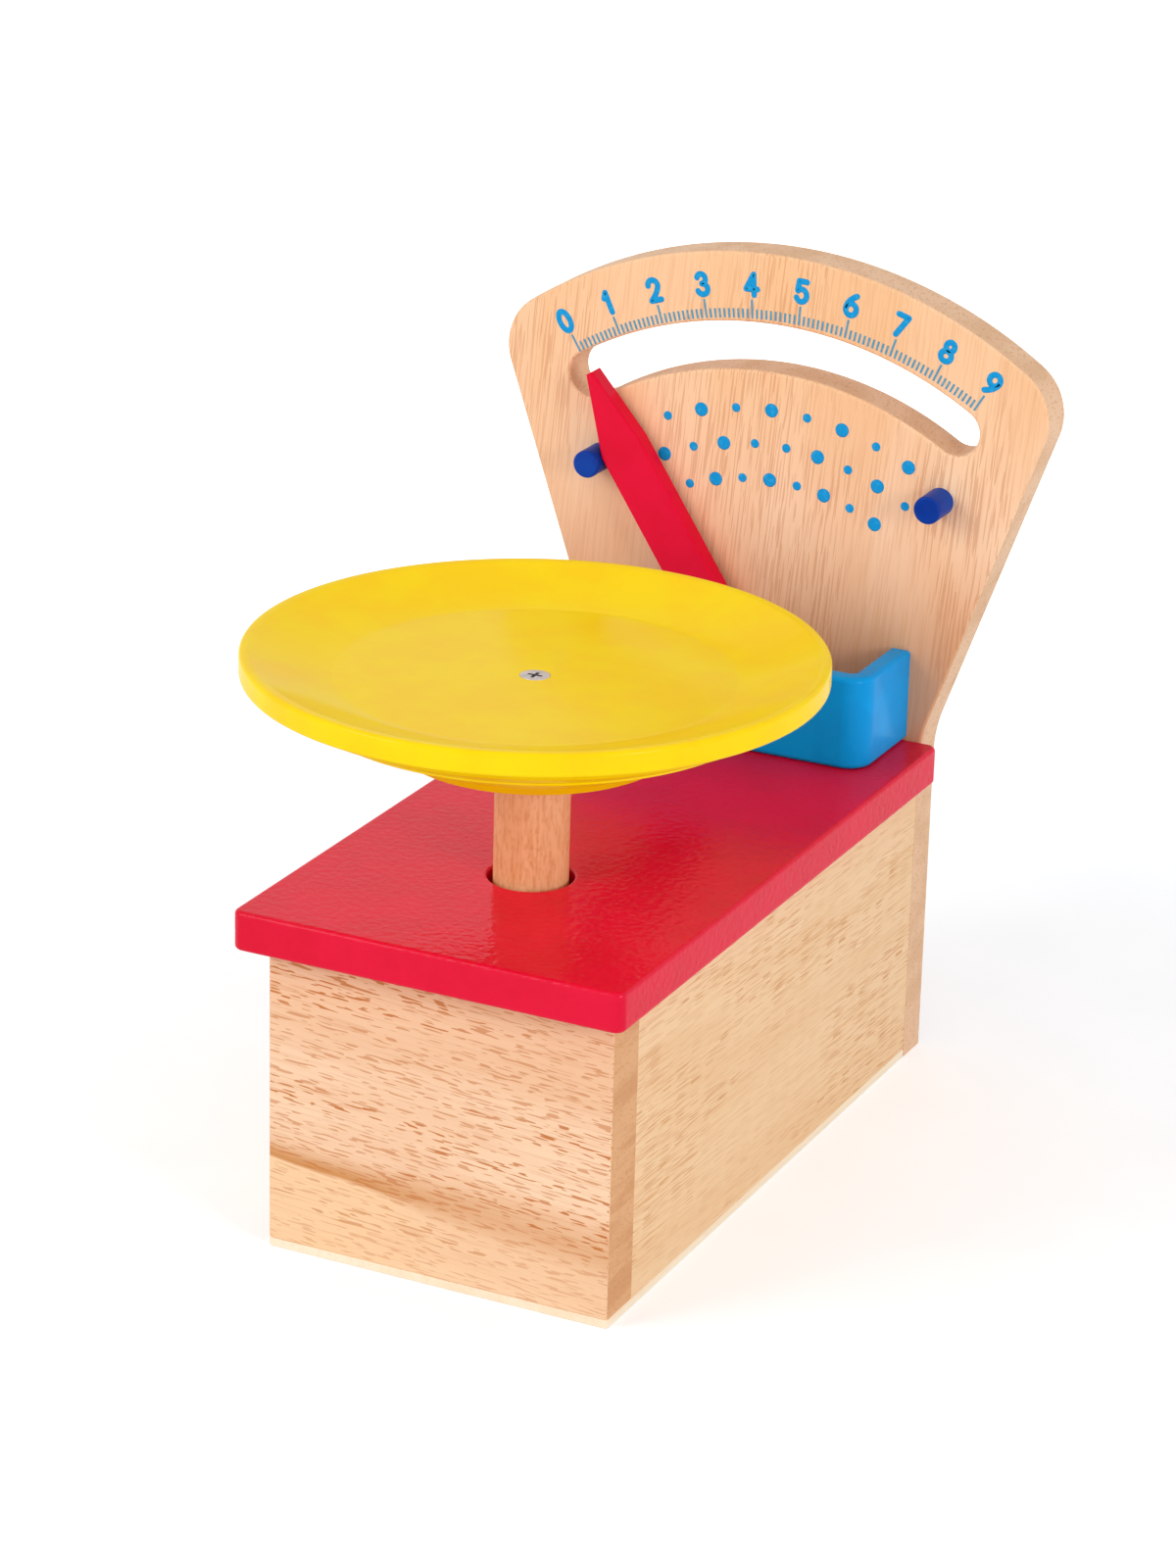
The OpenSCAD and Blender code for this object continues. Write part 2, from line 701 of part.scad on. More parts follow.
module pivot_spacer() {
    color(steel) placed() difference() {
        rod_y(0, pivot_z, pointer_back + turn_fit, dial_front, spacer_d);
        rod_y(0, pivot_z, pointer_back - cut, dial_front + cut, pivot_d + 2 * glue_fit);
    }
}

base_board();
base_screws();
front_board();
left_side_board();
right_side_board();
dial_board();
frame_dowels();
lid();
lid_dowels();
pointer_guard();
left_stop_peg();
right_stop_peg();
pan();
pan_screw();
pan_post();
post_foot();
foot_screw();
return_spring();
spring_seat();
rocker_beam();
rocker_axle();
left_axle_sleeve();
right_axle_sleeve();
fork_upright();
pointer();
drive_pin();
pivot_screw();
pivot_spacer();
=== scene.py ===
# A toy shop scale in wood: boards, turned pan, lacquer, dial print and spring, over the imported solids.
# Metres. X is to the right, Y to the back and Z up, from the table under the middle of the scale.

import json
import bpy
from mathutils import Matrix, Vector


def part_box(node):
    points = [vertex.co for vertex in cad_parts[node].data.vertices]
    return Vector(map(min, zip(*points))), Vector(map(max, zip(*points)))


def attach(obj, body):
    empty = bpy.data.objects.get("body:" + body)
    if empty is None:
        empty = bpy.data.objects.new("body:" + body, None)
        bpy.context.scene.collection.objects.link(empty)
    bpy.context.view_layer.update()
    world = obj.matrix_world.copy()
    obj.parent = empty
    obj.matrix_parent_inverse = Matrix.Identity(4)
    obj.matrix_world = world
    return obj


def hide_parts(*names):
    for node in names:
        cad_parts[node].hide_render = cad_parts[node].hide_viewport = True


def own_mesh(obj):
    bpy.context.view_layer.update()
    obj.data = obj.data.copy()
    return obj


bl_info = {
    "name": "Wooden Toy Scale",
    "version": (1, 0, 0),
    "blender": (4, 5, 0),
    "location": "3D View > Sidebar > Toy Scale",
    "description": "Dresses the solids of a wooden toy scale with rounded, turned and lacquered pieces",
    "category": "Object",
}

from math import cos, pi, radians, sin, tan

import bmesh
import bpy
from bpy.props import FloatProperty, FloatVectorProperty, IntProperty, PointerProperty
from bpy.types import Operator, Panel, PropertyGroup
from mathutils import Matrix, Vector

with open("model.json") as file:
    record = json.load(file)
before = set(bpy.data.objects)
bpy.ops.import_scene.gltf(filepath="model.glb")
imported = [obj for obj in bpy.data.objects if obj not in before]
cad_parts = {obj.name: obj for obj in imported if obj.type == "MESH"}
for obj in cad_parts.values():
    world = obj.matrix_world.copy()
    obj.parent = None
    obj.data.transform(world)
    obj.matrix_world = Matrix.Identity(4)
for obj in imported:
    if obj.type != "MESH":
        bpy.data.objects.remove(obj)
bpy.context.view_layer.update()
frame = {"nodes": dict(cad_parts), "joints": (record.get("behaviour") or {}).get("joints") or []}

MM = 0.001
WELD = 0.002 * MM
X, Y, Z = Vector((1, 0, 0)), Vector((0, 1, 0)), Vector((0, 0, 1))

# How many marks there are from one number to the next, and the last number
MARKS_A_STEP = 10
LAST_NUMBER = 9


# Settings

def length(name, description, millimetres, highest=None):
    """A size in the sidebar, given here in millimetres."""
    return FloatProperty(name=name, description=description, default=millimetres * MM, min=0.0,
                         max=(highest or 10 * millimetres) * MM, precision=5, unit="LENGTH",
                         subtype="DISTANCE")


def angle(name, description, degrees):
    """An angle in the sidebar, given here in degrees."""
    return FloatProperty(name=name, description=description, default=radians(degrees),
                         unit="ROTATION", subtype="ANGLE")


def share(name, description, value, highest=1.0):
    """A plain number in the sidebar."""
    return FloatProperty(name=name, description=description, default=value, min=0.0, max=highest,
                         subtype="FACTOR")


def power(name, description, watts):
    """A lamp's power in the sidebar."""
    return FloatProperty(name=name, description=description, default=watts, min=0.0, unit="POWER")


def count(name, description, value, lowest, highest):
    """A whole number in the sidebar."""
    return IntProperty(name=name, description=description, default=value, min=lowest, max=highest)


def linear(value):
    """A screen value from 0 to 255 as scene-linear light."""
    value /= 255
    return value / 12.92 if value <= 0.04045 else ((value + 0.055) / 1.055) ** 2.4


def colour(name, description, red, green, blue):
    """A colour in the sidebar, given here in screen values."""
    return FloatVectorProperty(name=name, description=description, size=4, subtype="COLOR", min=0.0,
                               max=1.0, default=(linear(red), linear(green), linear(blue), 1.0))


class ToyScaleEdges(PropertyGroup):
    board: length("Boards", "Rounding of the front and side boards' edges", 0.45, 1.2)
    base: length("Base board", "Rounding of the base board's edges", 0.405, 1.2)
    dial: length("Dial board", "Rounding of the dial board's edges", 1.0, 3)
    lid: length("Lid", "Rounding of the lid's edges, as in the solid", 1.25, 3)
    hole: length("Lid hole", "Rounding of the edges of the hole for the post", 0.7, 2)
    guard: length("Pointer guard", "Rounding of the guard's edges", 1.6, 2.5)
    pointer: length("Pointer", "Rounding of the pointer's edges", 0.7, 2)
    peg: length("Pegs", "Rounding of the stop pegs' ends", 0.7, 2)
    post: length("Post", "Rounding of the post's ends", 0.5, 2)
    disc: length("Post foot", "Rounding of the edges of the disc under the post", 0.8, 2)
    lever: length("Lever", "Rounding of the lever beam's and fork's edges", 0.6, 1.5)


class ToyScaleDial(PropertyGroup):
    right: length("Print to the right", "How far the print sits to the right of the dial's own centre", 1.4)
    up: length("Print up", "How far the print sits above the dial's own centre", 0.9)
    turn: angle("Print turn", "How far the whole print is turned", -0.64)
    first: angle("First mark", "Angle of the 0 mark from the print's upright", -31.46)
    step: angle("Step", "Angle from one number to the next", 7.04)
    tick_in: length("Mark radius", "Radius where the marks start", 115.2)
    tick_short: length("Short mark", "Length of the marks between the numbers", 2.7)
    tick_long: length("Long mark", "Length of the marks under the numbers", 5.4)
    tick_wide: length("Mark width", "Width of every mark", 0.62)
    digit_radius: length("Number radius", "Radius of the middle of the numbers", 124.9)
    digit_high: length("Number height", "Height of the numbers", 7.6)
    digit_line: length("Number line", "Width of the numbers' lines", 1.75)
    dot_large: length("Large dot", "Diameter of the large dots", 4.1)
    dot_small: length("Small dot", "Diameter of the small dots", 2.65)
    ink: length("Ink", "Height of the print over the wood", 0.05, 0.2)


class ToyScalePan(PropertyGroup):
    segments: count("Segments", "Segments round the pan", 192, 48, 384)
    dish_steps: count("Dish steps", "Steps of the dish from its edge down to its floor", 24, 8, 48)


class ToyScaleSpring(PropertyGroup):
    turns: count("Turns", "Turns of the return spring", 10, 6, 14)
    points: count("Points a turn", "Points along the wire in each turn", 40, 12, 96)
    wire: length("Wire", "Diameter of the spring wire", 1.4, 2)
    coil: length("Coil", "Mean diameter of the spring", 18.0, 22)
    end_gap: length("End gap", "Gap between the close turns at each end", 0.6, 2)


class ToyScaleColours(PropertyGroup):
    board_pale: colour("Front board", "Pale wood of the front board", 251, 213, 178)
    # board_tan is also the colour of the painted shade at the top of the front board
    board_tan: colour("Front board bands", "Darker bands of the front board", 234, 180, 138)
    board_pore: colour("Front board pores", "Pores of the front board and the dowels", 194, 108, 36)
    board_sap: colour("Sapwood", "Paler, yellower wood low on the front board", 250, 208, 162)
    board_rim: colour("Heartwood rim", "Dark rim of the heartwood over the sapwood", 206, 138, 74)
    side_pale: colour("Side board", "Pale wood of the side boards", 245, 207, 163)
    side_tan: colour("Side bands", "Darker bands of the side boards", 236, 190, 140)
    side_pore: colour("Side pores", "Pores of the side boards", 208, 138, 76)
    dial_pale: colour("Dial", "Pale wood of the dial board", 253, 213, 176)
    # dial_tan is also the painted shade at the top of the dial board, and dial_pore the painted shade low
    # on it by the guard and the pan
    dial_tan: colour("Dial streaks", "Orange streaks of the dial board", 242, 186, 134)
    dial_pore: colour("Dial pores", "Fine lines of the dial board", 190, 108, 50)
    end_pale: colour("End grain", "Sawn end of the front board", 224, 170, 122)
    end_dark: colour("End grain pores", "Pores of the front board's end", 204, 144, 98)
    edge_pale: colour("Dial edge", "Cut edge of the dial board and of its slot", 236, 194, 158)
    edge_dark: colour("Dial edge pores", "Pores of the dial board's cut edge", 212, 164, 122)
    base_pale: colour("Base", "Base board and its edge", 255, 238, 212)
    dowel: colour("Dowel", "Post, dowels and turned wood", 240, 189, 142)
    dowel_dark: colour("Dowel mottle", "Darker mottle of the dowels", 210, 137, 81)
    red: colour("Red", "Lid and pointer", 230, 4, 54)
    red_deep: colour("Deep red", "Thicker lacquer", 222, 2, 46)
    yellow: colour("Yellow", "Pan", 255, 217, 0)
    yellow_deep: colour("Deep yellow", "Thicker lacquer", 255, 209, 0)
    blue: colour("Blue", "Pointer guard", 0, 163, 238)
    blue_deep: colour("Deep blue", "Thicker lacquer", 0, 153, 228)
    navy: colour("Dark blue", "Stop pegs", 12, 68, 166)
    navy_deep: colour("Deepest blue", "Thicker lacquer", 6, 52, 148)
    print_blue: colour("Print", "Numbers and dots", 14, 152, 220)
    print_pale: colour("Print, thin", "Where the numbers' ink is thin", 48, 168, 226)
    tick_grey: colour("Marks", "Marks of the dial", 84, 152, 188)
    tick_pale: colour("Marks, thin", "Where the marks' ink is thin", 120, 168, 190)
    steel: colour("Steel", "Screws, pins and axle", 205, 205, 208)
    spring: colour("Spring", "Spring wire", 175, 178, 184)


class ToyScaleLight(PropertyGroup):
    around: share("Room", "Level of the light from all round", 0.94, 2.0)
    above: share("Ceiling", "Level of the light from straight above", 0.55, 2.0)
    key: power("Key", "Power of the lamp at the front left", 5.4)
    fill: power("Fill", "Power of the lamp at the right", 4.0)
    top: power("Top", "Power of the wide lamp overhead", 0.8)


# Meshes

def linked(name, data):
    """A new object in the scene."""
    item = bpy.data.objects.new(name, data)
    bpy.context.scene.collection.objects.link(item)
    return item


def removed(item):
    """Removes an object with its data."""
    data = item.data
    store = bpy.data.curves if item.type == "CURVE" else bpy.data.meshes
    bpy.data.objects.remove(item)
    store.remove(data)


def baked(item):
    """The evaluated mesh of an object, which is removed."""
    bpy.context.view_layer.update()
    seen = item.evaluated_get(bpy.context.evaluated_depsgraph_get())
    mesh = bpy.data.meshes.new_from_object(seen)
    removed(item)
    return mesh


def written(work, mesh):
    """Writes a finished working mesh into a mesh."""
    work.to_mesh(mesh)
    work.free()
    return mesh


def welded(mesh):
    """Joins doubled corners and turns every face outwards."""
    work = bmesh.new()
    work.from_mesh(mesh)
    bmesh.ops.remove_doubles(work, verts=work.verts, dist=WELD)
    bmesh.ops.dissolve_degenerate(work, edges=work.edges, dist=WELD)
    bmesh.ops.recalc_face_normals(work, faces=work.faces)
    return written(work, mesh)


def shaded(mesh, sharp=35):
    """Shades a mesh smooth, apart from its sharp edges, with the flat faces kept flat."""
    mesh.shade_smooth()
    mesh.set_sharp_from_angle(angle=radians(sharp))
    item = linked("shaded", mesh)
    weigh = item.modifiers.new("weigh", "WEIGHTED_NORMAL")
    weigh.keep_sharp = True
    return baked(item)


def face_loops(node, normal, straight=0.999):
    """Outlines of a solid's outermost flat faces that look along normal, the longest outline first."""
    work = bmesh.new()
    work.from_mesh(frame["nodes"][node].data)
    bmesh.ops.remove_doubles(work, verts=work.verts, dist=WELD)
    work.normal_update()
    level = max(v.co.dot(normal) for v in work.verts)
    flat = {f for f in work.faces
            if f.normal.dot(normal) > straight and abs(f.verts[0].co.dot(normal) - level) < 10 * WELD}
    onward = {}
    for face in flat:
        for corner in face.loops:
            if not any(other in flat for other in corner.edge.link_faces if other is not face):
                onward[corner.vert] = corner.link_loop_next.vert
    loops = []
    while onward:
        start, here = onward.popitem()
        chain = [start.co.copy()]
        while here is not start:
            chain.append(here.co.copy())
            here = onward.pop(here)
        loops.append(chain)
    work.free()
    return sorted(loops, key=lambda chain: -sum((a - b).length for a, b in zip(chain, chain[1:])))


def plate(loops, across, up, low, high, edge, steps=4):
    """A board with round edges: its outlines lie across and up, and it is thick from low to high."""
    outline = bpy.data.curves.new("outline", "CURVE")
    outline.dimensions, outline.fill_mode = "2D", "BOTH"
    outline.extrude = ((high - low) / 2 - edge) / MM
    outline.bevel_depth, outline.offset, outline.bevel_resolution = edge / MM, -edge / MM, steps
    for loop in loops:
        spline = outline.splines.new("POLY")
        spline.points.add(len(loop) - 1)
        for point, place in zip(spline.points, loop):
            point.co = (place.dot(across) / MM, place.dot(up) / MM, 0, 1)
        spline.use_cyclic_u = True
    mesh = baked(linked("plate", outline))
    out = across.cross(up)
    turn = Matrix((across, up, out)).transposed().to_4x4()
    mesh.transform(Matrix.Translation(out * (low + high) / 2) @ turn @ Matrix.Scale(MM, 4))
    return welded(mesh)


def rounded_board(node, normal, edge, outlines=1, steps=4):
    """A board like a flat solid that looks along normal, with round edges and only its longest outlines."""
    normal = Vector(normal).normalized()
    across = normal.orthogonal().normalized()
    up = normal.cross(across)
    heights = [v.co.dot(normal) for v in frame["nodes"][node].data.vertices]
    loops = face_loops(node, normal)[:outlines]
    return shaded(plate(loops, across, up, min(heights), max(heights), edge, steps))


def filleted(points, steps=6, most=0.48):
    """A row of (radius, height, rounding) as a row of (radius, height) with its corners rounded."""
    row = []
    for i, (r, h, rounding) in enumerate(points):
        if not rounding or i in (0, len(points) - 1):
            row.append((r, h))
            continue
        corner, before, after = Vector((r, h)), Vector(points[i - 1][:2]), Vector(points[i + 1][:2])
        back, on = before - corner, after - corner
        half = back.angle(on) / 2
        reach = min(rounding / tan(half), most * back.length, most * on.length)
        middle = corner + (back.normalized() + on.normalized()).normalized() * reach / cos(half)
        start = corner + back.normalized() * reach - middle
        end = corner + on.normalized() * reach - middle
        sweep = -start.angle_signed(end)
        for k in range(steps + 1):
            row.append(tuple(middle + Matrix.Rotation(sweep * k / steps, 2) @ start))
    return row


def turned(profile, foot, axis=Z, segments=96):
    """A turned solid: profile is a row of (radius, height) along the axis, closed on it at both ends."""
    side = axis.orthogonal().normalized()
    other = axis.cross(side)
    work = bmesh.new()
    rings = []
    for r, h in profile:
        if r < WELD:
            rings.append([work.verts.new(foot + axis * h)])
        else:
            rings.append([work.verts.new(foot + axis * h + r * (side * cos(a) + other * sin(a)))
                          for a in (2 * pi * k / segments for k in range(segments))])
    for low, high in zip(rings, rings[1:]):
        for k in range(segments):
            n = (k + 1) % segments
            corners = [low[k % len(low)], low[n % len(low)], high[n % len(high)], high[k % len(high)]]
            corners = [v for i, v in enumerate(corners) if v not in corners[:i]]
            if len(corners) > 2:
                work.faces.new(corners)
    bmesh.ops.recalc_face_normals(work, faces=work.faces)
    return written(work, bpy.data.meshes.new("turned"))


def peg(foot, radius, tall, low_edge, high_edge, axis=Z, segments=96, steps=6):
    """A plain turned peg with its two ends rounded."""
    profile = filleted([(0, 0, 0), (radius, 0, low_edge), (radius, tall, high_edge), (0, tall, 0)], steps)
    return shaded(turned(profile, foot, axis, segments))


def block(low, high):
    """A plain block, used only to cut with."""
    work = bmesh.new()
    bmesh.ops.create_cube(work, size=1)
    shape = Matrix.Translation((low + high) / 2) @ Matrix.Diagonal((*(high - low), 1))
    bmesh.ops.transform(work, verts=work.verts, matrix=shape)
    return written(work, bpy.data.meshes.new("block"))


def carved(mesh, cutters):
    """A mesh with the cutters' room taken out of it."""
    item = linked("carved", mesh)
    tools = [linked("cutter", cutter) for cutter in cutters]
    for tool in tools:
        cut = item.modifiers.new("cut", "BOOLEAN")
        cut.operation, cut.solver, cut.object = "DIFFERENCE", "EXACT", tool
    mesh = baked(item)
    for tool in tools:
        removed(tool)
    return welded(mesh)


def stand(node, axis=2):
    """The middle of a solid's low end on a numbered axis, its radius, and its length on that axis."""
    low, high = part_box(node)
    foot = (low + high) / 2
    foot[axis] = low[axis]
    return foot, (high.x - low.x) / 2, high[axis] - low[axis]


def place_piece(name, mesh, body, kinds, stands_for=()):
    """Puts a mesh in the scene as a piece with its finishes, body and the solids it stands for."""
    if not len(mesh.polygons):
        raise RuntimeError(f"{name} has no faces")
    mesh.name = name
    painted = [face.material_index for face in mesh.polygons]
    mesh.materials.clear()
    for kind in kinds:
        mesh.materials.append(finish(kind))
    mesh.polygons.foreach_set("material_index", painted)
    piece = linked(name, mesh)
    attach(piece, body)
    if stands_for:
        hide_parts(*stands_for)
    return piece


def dress(node, look, mesh, body, slot, *kinds):
    """Puts a finished piece in the place of one solid, named after the solid and its look."""
    return place_piece(f"{node}_{look}", mesh, body, kinds, [node])


def paint_faces(mesh, test):
    """Gives the second finish to the faces whose normal passes a test."""
    for face in mesh.polygons:
        if test(face.normal):
            face.material_index = 1


def dress_solids(kind, *nodes):
    """Gives a finish to solids that are shown as they are."""
    for node in nodes:
        materials = frame["nodes"][node].data.materials
        if not materials:
            materials.append(finish(kind))
        for i in range(len(materials)):
            materials[i] = finish(kind)


# Nodes

class Value:
    """What a node gives out. A sum, difference, product or quotient with it is made by a node as well."""

    def __init__(self, nodes, socket):
        self.nodes = nodes
        self.socket = socket

    def __add__(self, other):
        return self.nodes.calc("ADD", self, other)

    def __sub__(self, other):
        return self.nodes.calc("SUBTRACT", self, other)

    def __rsub__(self, other):
        return self.nodes.calc("SUBTRACT", other, self)

    def __mul__(self, other):
        return self.nodes.calc("MULTIPLY", self, other)

    def __truediv__(self, other):
        return self.nodes.calc("DIVIDE", self, other)


class Nodes:
    """A node tree in the making."""

    def __init__(self, tree):
        self.tree = tree
        tree.nodes.clear()

    def node(self, kind, values=None, **choices):
        """A new node, with its choices made and its inputs set or linked."""
        node = self.tree.nodes.new(kind)
        for key, value in choices.items():
            setattr(node, key, value)
        for key, value in (values or {}).items():
            if isinstance(value, Value):
                self.tree.links.new(value.socket, node.inputs[key])
            else:
                node.inputs[key].default_value = value
        return node

    def add(self, kind, values=None, output=0, **choices):
        """The first output of a new node, or another one by its name or number."""
        return Value(self, self.node(kind, values, **choices).outputs[output])

    def calc(self, how, *values):
        """One step of arithmetic."""
        return self.add("ShaderNodeMath", dict(enumerate(values)), operation=how)

    def larger(self, first, second):
        """The larger of two values."""
        return self.calc("MAXIMUM", first, second)

    def vector(self, **parts):
        """A vector from its X, Y and Z."""
        return self.add("ShaderNodeCombineXYZ", parts)

    def parts(self, vector):
        """The X, Y and Z of a vector."""
        return [Value(self, socket) for socket in self.node("ShaderNodeSeparateXYZ", {0: vector}).outputs]

    def mapped(self, place, scale=(1, 1, 1), turn=(0, 0, 0), shift=(0, 0, 0)):
        """Coordinates turned first, and then scaled and shifted."""
        if any(turn):
            place = self.add("ShaderNodeMapping", {"Vector": place, "Rotation": turn})
        return self.add("ShaderNodeMapping", {"Vector": place, "Location": shift, "Scale": scale})

    def noise(self, place, detail=2, rough=0.5, scale=1, warp=0):
        """A soft random value round a half."""
        return self.add("ShaderNodeTexNoise", {"Vector": place, "Scale": scale, "Detail": detail,
                                               "Roughness": rough, "Distortion": warp})

    def between(self, value, low, high, out_low=0, out_high=1):
        """Turns the stretch from low to high into a smooth ramp."""
        return self.add("ShaderNodeMapRange", {
            "Value": value, "From Min": low, "From Max": high, "To Min": out_low, "To Max": out_high},
            interpolation_type="SMOOTHSTEP")

    def eased(self, amount, start, end):
        """A value that goes from start to end as an amount goes from 0 to 1."""
        return self.between(amount, 0, 1, start, end)

    def mixed(self, factor, first, second):
        """Two colours mixed by a factor."""
        return self.add("ShaderNodeMix", {0: factor, 6: first, 7: second}, output=2, data_type="RGBA")

    def raised(self, height, strength, depth):
        """The normal of a surface that is bumped by a height from 0 to 1."""
        return self.add("ShaderNodeBump", {"Height": height, "Strength": strength, "Distance": depth})


# Finishes

def new_material(name):
    """A material with no surface as yet, its nodes, and the object coordinates that its patterns read."""
    material = bpy.data.materials.new(name)
    material.use_nodes = True
    nodes = Nodes(material.node_tree)
    return material, nodes, nodes.add("ShaderNodeTexCoord", output="Object")


def surfaced(material, nodes, values):
    """Gives a material its shader, with the shader's inputs set or linked."""
    shader = nodes.add("ShaderNodeBsdfPrincipled", values)
    nodes.node("ShaderNodeOutputMaterial", {"Surface": shader})
    return material


def along(axis, lengthwise, crosswise):
    """Scales in waves a metre: one along the grain's axis, the other across it."""
    return tuple(lengthwise if k == axis else crosswise for k in range(3))


# How a board's grain is drawn. Each layer has its waves a metre along and across the grain, and the cut of
# its noise, from where it starts to show to where it shows in full. Shares go from 0 to 1. Painted shade
# darkens the wood upwards over the rise and, towards the pore colour, downwards over the foot, which are
# levels over the table: the lid's shadow at the top of the front board, weaker light at the top of the dial
# board, and the shade of the guard and the pan low on the dial board. Streaks are raised by their height
# and are duller. Relief is the strength and the depth of the bumps.
PLAIN_GRAIN = {
    "turn": (0, 0, 0), "shift": (0, 0, 0),
    "band": (5, 42), "band_cut": (0.40, 0.66), "band_share": 0.5,
    "streak": (20, 620), "streak_cut": (0.42, 0.70), "streak_share": 0.4, "streak_height": 0.3,
    "line": (50, 1700), "line_cut": (0.61, 0.665), "line_share": 0.45,
    "fleck": (115, 2600), "fleck_cut": (0.61, 0.65), "fleck_share": 1.0,
    "crowd": (14, 60), "crowd_cut": (0.40, 0.60), "crowd_low": 0.55,
    "rise": (0.0, 1.0), "top_shade_share": 0.0,
    "foot": (0.0, 1.0), "low_shade_share": 0.0,
    "gloss": 0.46, "dulling": 0.12, "shine": 0.2, "relief": (0.3, 0.05 * MM),
}


def wood(name, pale, dark, pore, sapwood=None, rim=None, grain=1, seam=None, **changes):
    """Oiled wood: broad bands, streaks, long fine lines and short pores, all drawn out along the grain."""
    figure = {**PLAIN_GRAIN, **changes}
    material, nodes, place = new_material(name)
    _, _, level = nodes.parts(place)
    board_place = nodes.mapped(place, turn=figure["turn"], shift=figure["shift"])

    def layer(key, detail=0, warp=0):
        drawn = nodes.mapped(board_place, along(grain, *figure[key]))
        return nodes.between(nodes.noise(drawn, detail, rough=0.55, warp=warp), *figure[f"{key}_cut"])

    streaks = layer("streak", detail=3)
    tone = nodes.mixed(layer("band", detail=2, warp=0.6) * figure["band_share"], pale, dark)
    tone = nodes.mixed(streaks * figure["streak_share"], tone, dark)
    # Painted shade: the tone darkens upwards over the rise, and towards the pore colour downwards over the
    # foot
    tone = nodes.mixed(nodes.between(level, *figure["rise"]) * figure["top_shade_share"], tone, dark)
    tone = nodes.mixed(nodes.between(level, *figure["foot"], 1, 0) * figure["low_shade_share"], tone, pore)
    crowd = nodes.larger(layer("crowd", detail=2), figure["crowd_low"])
    if seam:
        tone, above = seamed(nodes, place, tone, sapwood, rim, *seam)
        crowd = crowd * nodes.eased(above, 0.6, 1)
    marks = nodes.larger(layer("line") * figure["line_share"], layer("fleck") * figure["fleck_share"])
    marks = marks * crowd
    return surfaced(material, nodes, {
        "Base Color": nodes.mixed(marks, tone, pore),
        "Roughness": nodes.eased(streaks, figure["gloss"], figure["gloss"] + figure["dulling"]),
        "Specular IOR Level": figure["shine"],
        "Normal": nodes.raised(streaks * figure["streak_height"] - marks, *figure["relief"])})


def seamed(nodes, place, tone, sapwood, rim, height, slope, fade):
    """A slanting growth line: pale sapwood below it and a dark rim above it, both strongest at the left."""
    waves, wobble = (14, 0, 40), 6 * MM
    strongest, weakest = -45 * MM, 30 * MM
    soft, sharp = 5 * MM, 0.5 * MM
    rim_shares, sapwood_shares = (0.5, 0.95), (0.35, 0.85)
    x, _, z = nodes.parts(place)
    wave = nodes.noise(nodes.mapped(place, waves)) - 0.5
    over = z - height - (x * slope + wave * wobble)
    left = nodes.between(x, strongest, weakest, 1, 0)
    blur = nodes.eased(left, soft, sharp)
    above = nodes.between(over, blur * -1, blur)
    dark = above * nodes.between(over, 0, nodes.eased(left, fade, fade / 2), 1, 0)
    dark = dark * nodes.eased(left, *rim_shares)
    pale = (1 - above) * nodes.eased(left, *sapwood_shares)
    return nodes.mixed(dark, nodes.mixed(pale, tone, sapwood), rim), above


def cut_edge(name, pale, dark, shift=(0, 0, 0), band=(30, 240), band_share=0.6):
    """The sawn and sanded edge of a board: duller, with bands where the rings are cut and short pores."""
    pore, pore_share = (700, 1500), 0.6
    material, nodes, place = new_material(name)
    place = nodes.mapped(place, shift=shift)
    bands = nodes.noise(nodes.mapped(place, along(1, *band)), detail=3, rough=0.6)
    bands = nodes.between(bands, 0.38, 0.66)
    pores = nodes.noise(nodes.mapped(place, along(1, *pore)), detail=0)
    pores = nodes.between(pores, 0.62, 0.70)
    tone = nodes.mixed(bands * band_share, pale, dark)
    return surfaced(material, nodes, {
        "Base Color": nodes.mixed(pores * pore_share, tone, dark),
        "Roughness": nodes.eased(bands, 0.55, 0.68),
        "Specular IOR Level": 0.2,
        "Normal": nodes.raised(1 - pores, strength=0.3, depth=0.04 * MM)})


def lacquer(name, fresh, deep, grain=1, gloss=0.45, coat=0.4, coat_gloss=0.14, peel=1.0, lines=0.25):
    """Gloss paint on wood: slight pools of colour, orange peel, and the grain showing faintly through."""
    pool_waves, peel_waves, dust_waves, grain_waves = 55, 480, 900, (30, 520)
    pool_gloss, dust_dulling = 0.06, 0.25
    material, nodes, place = new_material(name)
    pools = nodes.noise(place, detail=3, rough=0.55, scale=pool_waves)
    pools = nodes.between(pools, 0.35, 0.68)
    bumps = nodes.noise(place, detail=1, scale=peel_waves)
    grain_lines = nodes.noise(nodes.mapped(place, along(grain, *grain_waves)), rough=0.55)
    dust = nodes.between(nodes.noise(place, detail=0, scale=dust_waves), 0.74, 0.80)
    skin = nodes.raised(grain_lines * lines + bumps * peel, strength=0.16, depth=0.12 * MM)
    return surfaced(material, nodes, {
        "Base Color": nodes.mixed(pools, fresh, deep),
        "Roughness": nodes.eased(pools, gloss + pool_gloss, gloss) + dust * dust_dulling,
        "Specular IOR Level": 0.02, "Normal": skin,
        "Coat Weight": coat, "Coat Roughness": coat_gloss, "Coat IOR": 1.32, "Coat Normal": skin})


def ink(name, full, thin):
    """Printed ink: flat colour, thinner in places."""
    material, nodes, place = new_material(name)
    cover = nodes.between(nodes.noise(place, rough=0.6, scale=700), 0.48, 0.74)
    return surfaced(material, nodes, {
        "Base Color": nodes.mixed(cover, full, thin),
        "Roughness": nodes.eased(cover, 0.42, 0.55),
        "Specular IOR Level": 0.1,
        "Normal": nodes.raised(cover, strength=0.2, depth=0.03 * MM)})


